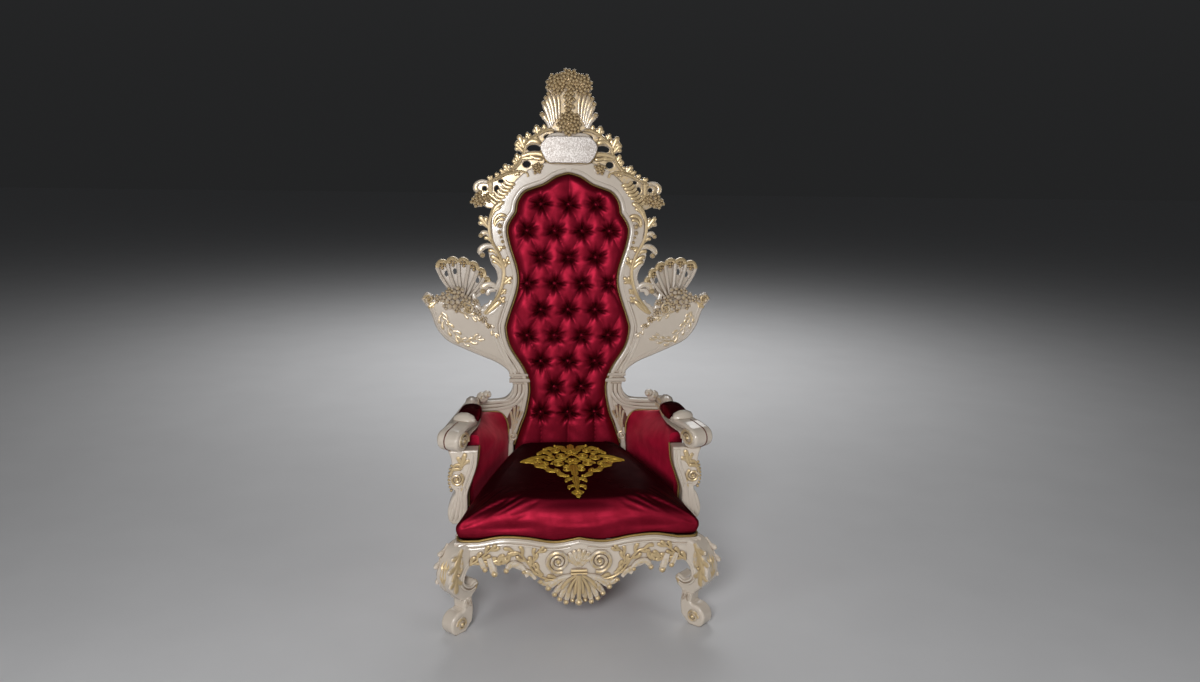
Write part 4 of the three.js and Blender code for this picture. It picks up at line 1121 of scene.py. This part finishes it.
def front_rail():
    """Serpentine rail with leaf scrolls, a shell between volutes and a hanging palmette"""
    carving = Carving()
    wave = spline([*RAIL_WAVE, (LEG_X + 26, RAIL_TOP)], 48)
    under = spline([(LEG_X + 26, RAIL_TOP - 60), *RAIL_UNDER], 48)
    carving.add(IVORY, board([both_halves(np.concatenate([wave, under]))], -32, 0, 5))
    carving.add_pair(IVORY, tube(wave - (0, 9), 6, h=0), tube(wave[4:] - (0, 22), 4, h=0))
    carving.add_pair(GOLD, scroll(72, 250, 41, 7, 250, 2.4, 8, 4))
    for line, leaves, length, width in (
        ([(40, 186), (100, 184), (146, 206), (180, 252), (206, 284), (236, 286), (254, 262)], 12, 34, 17),
        ([(124, 202), (152, 232), (156, 268), (132, 296)], 6, 28, 15),
        ([(372, 246), (338, 270), (296, 306)], 6, 30, 17),
        ([(340, 262), (306, 256), (272, 262)], 5, 28, 16),
    ):
        for shape in branch(line, leaves, length, width, 3):
            carving.add_pair(GOLD, shape)
    for line, width in (
        ([(178, 200), (198, 236), (230, 246), (250, 224)], 26), ([(150, 190), (168, 210), (190, 218)], 22),
        ([(340, 274), (332, 250), (322, 230)], 26), ([(308, 272), (300, 242), (290, 214)], 32),
        ([(14, 198), (54, 172), (84, 132)], 26), ([(12, 192), (44, 158), (66, 114)], 26),
        ([(10, 188), (32, 150), (44, 102)], 26), ([(8, 184), (18, 146), (22, 108)], 22),
        ([(22, 196), (66, 186), (106, 156)], 28), ([(92, 176), (116, 170), (132, 180)], 22),
    ):
        carving.add_pair(GOLD, curl(line, width, 5))
    for line in (
        [(8, 204), (40, 182), (62, 152)], [(6, 200), (26, 170), (38, 136)], [(4, 196), (12, 164), (14, 132)],
    ):
        carving.add_pair(GOLD, finger(line, 15, 16))
    carving.add(GOLD, tube(np.array([(0, 206), (0, 160), (0, 104)]), 9, 8, h=18), ball(0, 105, 14, 15))
    carving.add(GOLD, *[tube(np.array([(-28, v), (0, v), (28, v)]), 6, h=6) for v in (204, 216)])
    for angle in range(36, 145, 18):
        tip = (62 * math.cos(math.radians(angle)), 232 + 64 * math.sin(math.radians(angle)))
        carving.add(EDGED, finger([(0, 230), (0.5 * tip[0], 0.5 * tip[1] + 115), tip], 22, 1))
    make_carving("carved_front_rail", carving, on_front(0), ["front_rail"])


FOOT_R, FOOT_Z, FOOT_RADIUS = 55, 37, 43
LEG_OUTER = [(20, 325), (66, 306), (102, 250), (111, 208), (96, 166), (62, 132), (44, 112), (40, 84)]
LEG_INNER = [
    (2, 30), (-4, 72), (-2, 116), (-20, 136), (-25, 160),
    (-12, 178), (14, 168), (40, 188), (30, 222), (-4, 248),
]
LEG_LEVELS = [0, 90, 116, 200, 325]
LEG_HALF_THICK = [30, 28, 25, 37, 38]


def front_leg():
    """Cabriole leg set on the diagonal, with a scroll foot and leaves on its knee"""
    carving = Carving()
    angle = np.radians(np.linspace(100, -116, 26))
    foot = np.column_stack([
        FOOT_R + FOOT_RADIUS * np.cos(angle), np.maximum(0, FOOT_Z + FOOT_RADIUS * np.sin(angle))])
    inner = spline(LEG_INNER, 48)
    outline = np.concatenate([spline(LEG_OUTER, 40), foot, inner, [(-30, RAIL_TOP)]])
    points, faces = board([outline], -30, 30, 9, 5)
    points[:, 2] *= np.interp(points[:, 1], LEG_LEVELS, LEG_HALF_THICK) / 30
    carving.add(IVORY, (points, faces))
    carving.add(
        GOLD,
        scroll(FOOT_R, FOOT_Z, 22, 6, 0, 1.8, 6, 30), ball(FOOT_R, FOOT_Z, 31, 10), ball(-14, 160, 24, 11),
        sprig((54, 312), (92, 250), 40, 35),
        sprig((70, 284), (100, 206), 42, 36), sprig((84, 236), (84, 160), 40, 35),
        curl([(60, 284), (58, 246), (76, 226)], 18, 37), curl([(-10, 176), (-20, 160), (-10, 150)], 18, 26),
        flips=BOTH_FACES,
    )
    carving.add(
        IVORY,
        tube(beside(inner[24:], -9), 4, h=34), tube(beside(inner[30:], -20), 3.5, h=35),
        tube(np.array([(2, 124), (24, 118), (52, 124)]), 5, h=22),
        leaf((20, 124), (6, 84), 22, 8, -20, 23, 2),
        leaf((34, 122), (28, 84), 20, 8, 10, 23, 2), flips=BOTH_FACES,
    )
    knee_points, knee_faces = frond([(0, 300), (0, 240), (0, 168)], 44, 9, 0, 4)
    reach = np.interp(knee_points[:, 1], [150, 166, 208, 250, 306], [84, 96, 111, 102, 66])
    turned = np.column_stack([reach + knee_points[:, 2] - 5, knee_points[:, 1], knee_points[:, 0]])
    carving.shapes.append((turned, knee_faces))
    carving.gilt.append(np.full(len(turned), KNEE_GILT))
    make_carved_pair("front_leg", carving, on_leg)


def leg_block():
    """The squared top of the front leg between the rails"""
    side = LEG_BLOCK / 2
    square = np.array([(-side, -side), (side, -side), (side, side), (-side, side)]) + (LEG_X, LEG_Y)
    shape = board([square], RAIL_BOTTOM, RAIL_TOP, 4)
    gilt = np.full(len(shape[0]), IVORY)
    for side_name, stand in both_stands(as_drawn):
        make_piece(f"leg_block_{side_name}", shape, stand, WOOD, [], gilt)


def back_leg():
    carving = Carving()
    front = spline([(626, RAIL_TOP + 1.5), (630, 240), (664, 110), (714, 0)], 24)
    back = spline([(766, 0), (712, 118), (676, 240), (669, RAIL_TOP + 1.5)], 24)
    carving.add(IVORY, board([np.concatenate([front, back])], -BACK_LEG_WIDE / 2, BACK_LEG_WIDE / 2, 6))
    make_carved_pair("back_leg", carving, on_side(BACK_LEG_X))


def side_rail_outer(y):
    return np.interp(y, [LEG_Y + LEG_BLOCK / 2, SIDE_RAIL_END], [SIDE_RAIL_FRONT, SIDE_RAIL_REAR])


def side_rail():
    """A plain rail with an arched lower edge, a rounded lower moulding and a bead above it"""
    carving = Carving()
    share = np.linspace(0, 1, 30)
    front = LEG_Y + LEG_BLOCK / 2 + GAP
    y = front + (SIDE_RAIL_END - front) * share
    under = RAIL_BOTTOM + 24 * np.sin(math.pi * share)
    outline = np.concatenate([np.column_stack([y, under]), [(SIDE_RAIL_END, RAIL_TOP), (front, RAIL_TOP)]])
    points, faces = board([outline], -SIDE_RAIL_THICK, 0, 4)
    carving.add(IVORY, (points, faces))
    line = np.column_stack([y, under + 12])[1:-1]
    carving.add(EDGED, tube(line, 5, h=0), tube(np.column_stack([y, y * 0 + RAIL_TOP - 12])[1:-1], 5, h=0))

    def slanted(p):
        return np.column_stack([side_rail_outer(p[:, 0]) + p[:, 2], p[:, 0] - MIDDLE_Y, p[:, 1]])

    make_carved_pair("side_rail", carving, slanted)


def back_rail():
    carving = Carving()
    half = BACK_LEG_X - BACK_LEG_WIDE / 2 - GAP
    outline = np.array([(-half, RAIL_TOP - 80), (half, RAIL_TOP - 80), (half, RAIL_TOP), (-half, RAIL_TOP)])
    carving.add(IVORY, board([outline], -17, 17, 5))
    make_carving("carved_back_rail", carving, on_front(648), ["back_rail"])


def seat_gimp():
    """Braid along the rail's wave and round the seat's front corners"""
    wave = spline(RAIL_WAVE, 40) + (0, GIMP_HALF + GAP)
    front = np.column_stack([wave[:, 0], np.full(len(wave), SEAT_FRONT - 1), wave[:, 1]])
    level = RAIL_TOP + GIMP_HALF + GAP
    corner = np.array([
        (380, SEAT_FRONT - 1), (SEAT_FRONT_HALF - 24, SEAT_FRONT + 5),
        (seat_half(34) - 5, 34), (seat_half(64) - 1, 64), (seat_half(150) + 3, 150),
    ])
    right = np.concatenate([front, np.insert(spline(corner, 16), 2, level, axis=1)])
    line = np.concatenate([right[:0:-1] * (-1, 1, 1), right])
    make_braid("gimp_braid", tube_in_space(line, GIMP_HALF), as_drawn, ["seat_gimp"])


def applique():
    """Embroidered scrollwork on the seat: spread wide at the back, narrowing to a drop in front"""
    right = []
    for u, v, outer, inner, start, turns, thick in (
        (40, 420, 24, 5, 180, 1.7, 5), (88, 404, 22, 5, 90, 1.7, 5), (56, 350, 24, 5, 0, 1.7, 5),
        (104, 352, 18, 4, 270, 1.6, 5), (28, 300, 18, 4, 60, 1.6, 4), (60, 470, 18, 4, 240, 1.6, 4),
        (132, 386, 14, 4, 150, 1.5, 4),
    ):
        right.append(scroll(u, v, outer, inner, start, turns, thick, 1))
    for line, width in (
        ([(20, 460), (36, 500), (60, 512)], 30), ([(44, 464), (80, 494), (104, 480)], 30),
        ([(74, 440), (108, 462), (128, 440)], 28), ([(140, 372), (130, 336), (104, 318)], 26),
        ([(110, 336), (88, 292), (62, 284)], 28), ([(70, 312), (50, 256), (26, 240)], 26),
        ([(8, 226), (30, 214), (36, 196)], 20), ([(6, 170), (26, 160), (28, 142)], 18),
    ):
        right.append(hook(line, width, 5, 0, 1))
    for line, width, relief, lobes in (
        ([(96, 420), (140, 410), (196, 380)], 26, 5, 4), ([(110, 376), (150, 374), (190, 382)], 22, 5, 3),
        ([(24, 396), (44, 384), (70, 382)], 18, 4, 3), ([(10, 330), (30, 330), (36, 318)], 16, 4, 2),
    ):
        right.append(frond(line, width, relief, 0, lobes, 1))
    shapes = right + [(points * (-1, 1, 1), faces) for points, faces in right]
    for line, width, lobes in (
        ([(0, 340), (0, 300), (0, 244)], 40, 3), ([(0, 250), (0, 200), (0, 140)], 26, 3),
        ([(0, 470), (0, 500), (0, 530)], 34, 2),
    ):
        shapes.append(frond(line, width, 5, 0, lobes, 1))
    shapes += [flower(0, 446, 0, 26, 5, 6), flower(0, 372, 0, 30, 5, 6), flower(0, 122, 0, 22, 4, 4)]
    points, faces = together([*shapes, ball(0, 96, 1, 9, 1, 0.4)])
    drawn = points - (0, APPLIQUE_FORWARD, 0), faces
    make_piece("seat_embroidery", drawn, on_seat, EMBROIDERY, ["seat_applique"])


# Arms

def arm_rest():
    """Arm with a round knob and a ribbon that sweeps out and down into a roll"""
    carving = Carving()
    back = spline([(630, ARM_UNDER), (634, 664), (604, 676), (560, 680), (490, 684), (PAD_BACK, 688)], 30)
    knob = spline([(PAD_FRONT, 682), (270, 684), (246, 684), (222, 684), (200, 683), (164, 675)], 24)
    angle = np.radians(np.linspace(108, 324, 30))
    roll = np.column_stack([ROLL_Y + ROLL_RADIUS * np.cos(angle), ROLL_Z + ROLL_RADIUS * np.sin(angle)])
    under = spline([(228, 640), (300, ARM_UNDER), (420, ARM_UNDER + 3)], 12)
    seat = [(PAD_BACK, PAD_SEAT), (PAD_FRONT, PAD_SEAT)]
    outline = np.concatenate([back, seat, knob, roll, under]) * (-1, 1)
    points, faces = board([outline], -ARM_HALF, ARM_HALF, 9, 4)
    points[:, 2] *= np.interp(-points[:, 0], [PAD_BACK, PAD_BACK + 60], [1, 0.7])
    carving.add(IVORY, (points, faces))
    # A thin dark line along the knob and the roll: painted shadow at their edge
    carving.add(PAINTED_GAP_SHADOW, tube(np.concatenate([knob[14:], roll]) * (-1, 1), 2, h=8))
    bead, bead_faces = ball(0, 0, 0, 1)
    for size, place in (((27, 27, 37), (-262, 685, 0)), ((60, 22, 24), (-500, 682, 4))):
        carving.add(IVORY, (bead * size + place, bead_faces))
    carving.add(GOLD, scroll(-ROLL_Y, ROLL_Z, 30, 6, 200, -1.7, 7, ARM_HALF - 1), flips=BOTH_FACES)
    for size, place in ((24, (-600, 676, -ARM_HALF - 2)), (17, (-592, 690, -ARM_HALF - 20))):
        carving.add(EDGED, (bead * size + place, bead_faces))
    carving.add(GOLD, ball(-578, 690, -ARM_HALF - 28, 9), ball(-578, 680, -ARM_HALF - 4, 9))
    carving.add(
        GOLD,
        finger([(-610, 652), (-540, 674), (-470, 678)], 26, 18),
        finger([(-560, 652), (-470, 664), (-380, 654)], 22, 28),
        flips=BOTH_FACES,
    )
    make_carved_pair("arm", carving, on_arm)


def arm_pad():
    """A short satin pad wrapped over the arm"""
    share = np.linspace(0, 1, 24)
    y = PAD_FRONT + 1 + (PAD_BACK - PAD_FRONT - 2) * share
    swell = 16 + 24 * np.sin(math.pi * np.clip(share, 0.03, 0.97)) ** 0.45
    turn = np.linspace(0, math.pi, 25)
    across = (ARM_HALF + 4) * np.cos(turn)[None, :] * (1 + 0.02 * np.sin(math.pi * share)[:, None])
    up = PAD_SEAT + GAP + swell[:, None] * np.sin(turn)[None, :] ** 0.55
    rings = np.stack([np.repeat(-y[:, None], len(turn), axis=1), up, across], axis=-1)
    make_soft_pair("arm_pad", loft(rings), on_arm, SATIN)


def arm_post():
    """S-shaped post with a volute, leaves above it and a fluted leaf sweeping down to the rail"""
    carving = Carving()
    base, top = RAIL_TOP + GAP, ROLL_Z - ROLL_RADIUS - GAP
    outer = spline([
        (452, top), (440, 560), (444, 520), (452, 488), (442, 460), (428, 446), (442, 420), (455, 378),
        (452, 340), (438, base),
    ], 50)
    inner = spline([(386, base), (385, 400), (384, 440), (368, 490), (352, 540), (346, top)], 24)
    face = POST_THICK / 2
    carving.add(IVORY, board([np.concatenate([outer, inner])], -face, face, 7))
    carving.add(IVORY, tube(beside(inner, -5)[1:-1], 4, h=face - 1))
    carving.add(IVORY, tube(beside(inner[6:], -20)[:-1], 8, h=face - 3))
    carving.add(
        GOLD,
        scroll(422, 494, 24, 5, 120, 1.8, 6, face + 1), sprig((410, 530), (390, 592), 36, face),
        finger([(444, 508), (434, 530), (404, 532)], 16, face + 2),
        finger([(440, 524), (426, 546), (400, 546)], 14, face + 1),
        finger([(404, 480), (398, 466), (408, 448)], 14, face),
        *[ball(449 - 0.004 * (v - 494) ** 2, v, face - 4, 6) for v in range(452, 546, 13)],
    )
    for tip, root in ((446, 418), (430, 410), (414, 402), (400, 396)):
        carving.add(IVORY, finger([(root, 462), ((root + tip) / 2 - 4, 400), (tip, 336)], 22, face - 2))
    make_carved_pair("arm_post", carving, on_front(POST_Y))
    piping = tube(beside(inner, 3)[3:], 3, h=2 - face)
    for side, stand in both_stands(on_front(POST_Y)):
        make_braid(f"post_piping_{side}", piping, stand)


def side_panel():
    """Padded panel below the arm: upright at the seat, leaning out to the arm, turning in to the bracket"""
    front, rear, base = POST_Y + POST_THICK / 2 + 2, 648, RAIL_TOP + GAP
    rings = []
    for s in np.sin(np.linspace(0, math.pi / 2, 32)):
        y = front + (rear - front) * s
        low, outer = seat_half(y) + 5, float(side_rail_outer(y))
        drawn_in = max(0, (s - 0.4) / 0.6) ** 3
        top, height = 350 - 92 * drawn_in, min(636, 602 + 0.26 * (rear - y))
        thick = 40 + 80 * drawn_in
        stuffing = 26 * math.sin(math.pi * s) ** 2 + 6
        inside = spline([
            (low, base), (low, 440), (low, 496), ((low + top) / 2 - stuffing, 556),
            (top - 6, height - 12), (top + 10, height),
        ], 34)
        outside = spline([
            (top + thick - 8, height), (top + thick, height - 8),
            ((outer + top + 40) / 2, 560), (outer, 470), (outer, base),
        ], 16)
        section = np.concatenate([inside, outside])
        rings.append(np.column_stack([section[:, 0], np.full(len(section), y), section[:, 1]]))
    # The side panels take the satin copy whose colour is painted lighter
    make_soft_pair("side_panel", loft(np.array(rings)), as_drawn, UPRIGHT_SATIN_PAINTED_LIGHTER)
    points, faces = tube(beside(spline(FRAME_BRACKET, 40), 1), 3.5, h=-2)
    make_braid("bracket_piping", together([(points * flip, faces) for flip in BOTH_SIDES]), on_back)


# Studio

CAMERA_PLACE = (-0.2594, -3.4257, 1.6541)
CAMERA_YAW = 0.1036
CAMERA_PITCH = 0.2014
CAMERA_ROLL = 0.0164
CAMERA_LENS = 28.706
FLOOR_REACH = 30
HORIZON_GLOW, SKY_GLOW = 0.0187, 0.03


def camera():
    """The camera stands where the photograph was taken from, as fitted to the outline"""
    level = Vector((math.cos(CAMERA_YAW), -math.sin(CAMERA_YAW), 0))
    away = Vector((math.sin(CAMERA_YAW), math.cos(CAMERA_YAW), 0))
    ahead = away * math.cos(CAMERA_PITCH) - Vector((0, 0, math.sin(CAMERA_PITCH)))
    upright = level.cross(ahead)
    right = level * math.cos(CAMERA_ROLL) + upright * math.sin(CAMERA_ROLL)
    up = upright * math.cos(CAMERA_ROLL) - level * math.sin(CAMERA_ROLL)
    data = bpy.data.cameras.new("camera")
    data.lens = CAMERA_LENS
    holder = bpy.data.objects.new("camera", data)
    turn = Matrix((right, up, -ahead)).transposed().to_4x4()
    holder.matrix_world = Matrix.Translation(CAMERA_PLACE) @ turn
    bpy.context.scene.collection.objects.link(holder)
    bpy.context.scene.camera = holder


def soft_light(name, place, size, power, aim=(0, 0, 0.95)):
    data = bpy.data.lights.new(name, "AREA")
    data.size = size
    data.energy = power
    holder = bpy.data.objects.new(name, data)
    holder.location = place
    holder.rotation_euler = (Vector(aim) - Vector(place)).to_track_quat("-Z", "Y").to_euler()
    bpy.context.scene.collection.objects.link(holder)


def studio():
    camera()
    soft_light("key", (-0.7, -3.5, 1.95), 0.9, 82)
    soft_light("fill_left", (-2.8, -2.2, 1.3), 1.2, 14)
    soft_light("fill_right", (2.8, -2.4, 1.3), 1.2, 14)
    soft_light("back_light", (0.4, 4.0, 3.4), 3.0, 120, (0.2, 4.0, 0))
    world = bpy.data.worlds.new("studio")
    world.use_nodes = True
    tree = world.node_tree
    direction = add_node(tree, "TexCoord").outputs["Generated"]
    upwards = add_node(tree, "SeparateXYZ", Vector=direction).outputs["Z"]
    glow = remap(tree, upwards, 0.0, 0.5, HORIZON_GLOW, SKY_GLOW)
    feed(tree, tree.nodes["Background"], Strength=glow, Color=(0.9, 0.92, 0.95, 1))
    bpy.context.scene.world = world
    bpy.context.scene.view_settings.view_transform = "Standard"


def pale_floor():
    mesh = bpy.data.meshes.new("floor")
    reach = FLOOR_REACH
    corners = [(-reach, -reach, 0), (reach, -reach, 0), (reach, reach, 0), (-reach, reach, 0)]
    mesh.from_pydata(corners, [], [(0, 1, 2, 3)])
    floor = bpy.data.objects.new("floor", mesh)
    material, tree, shader = new_material("pale_floor")
    tone = mix_colours(tree, noise(tree, 3), (0.62, 0.62, 0.63), (0.68, 0.68, 0.69))
    feed(tree, shader, Base_Color=tone, Roughness=0.6)
    mesh.materials.append(material)
    bpy.context.scene.collection.objects.link(floor)


back_frame()
cresting()
wing()
tufted_back()
rear_panel()
seat_cushion()
front_rail()
front_leg()
leg_block()
back_leg()
side_rail()
back_rail()
seat_gimp()
applique()
arm_rest()
arm_pad()
arm_post()
side_panel()
studio()
pale_floor()
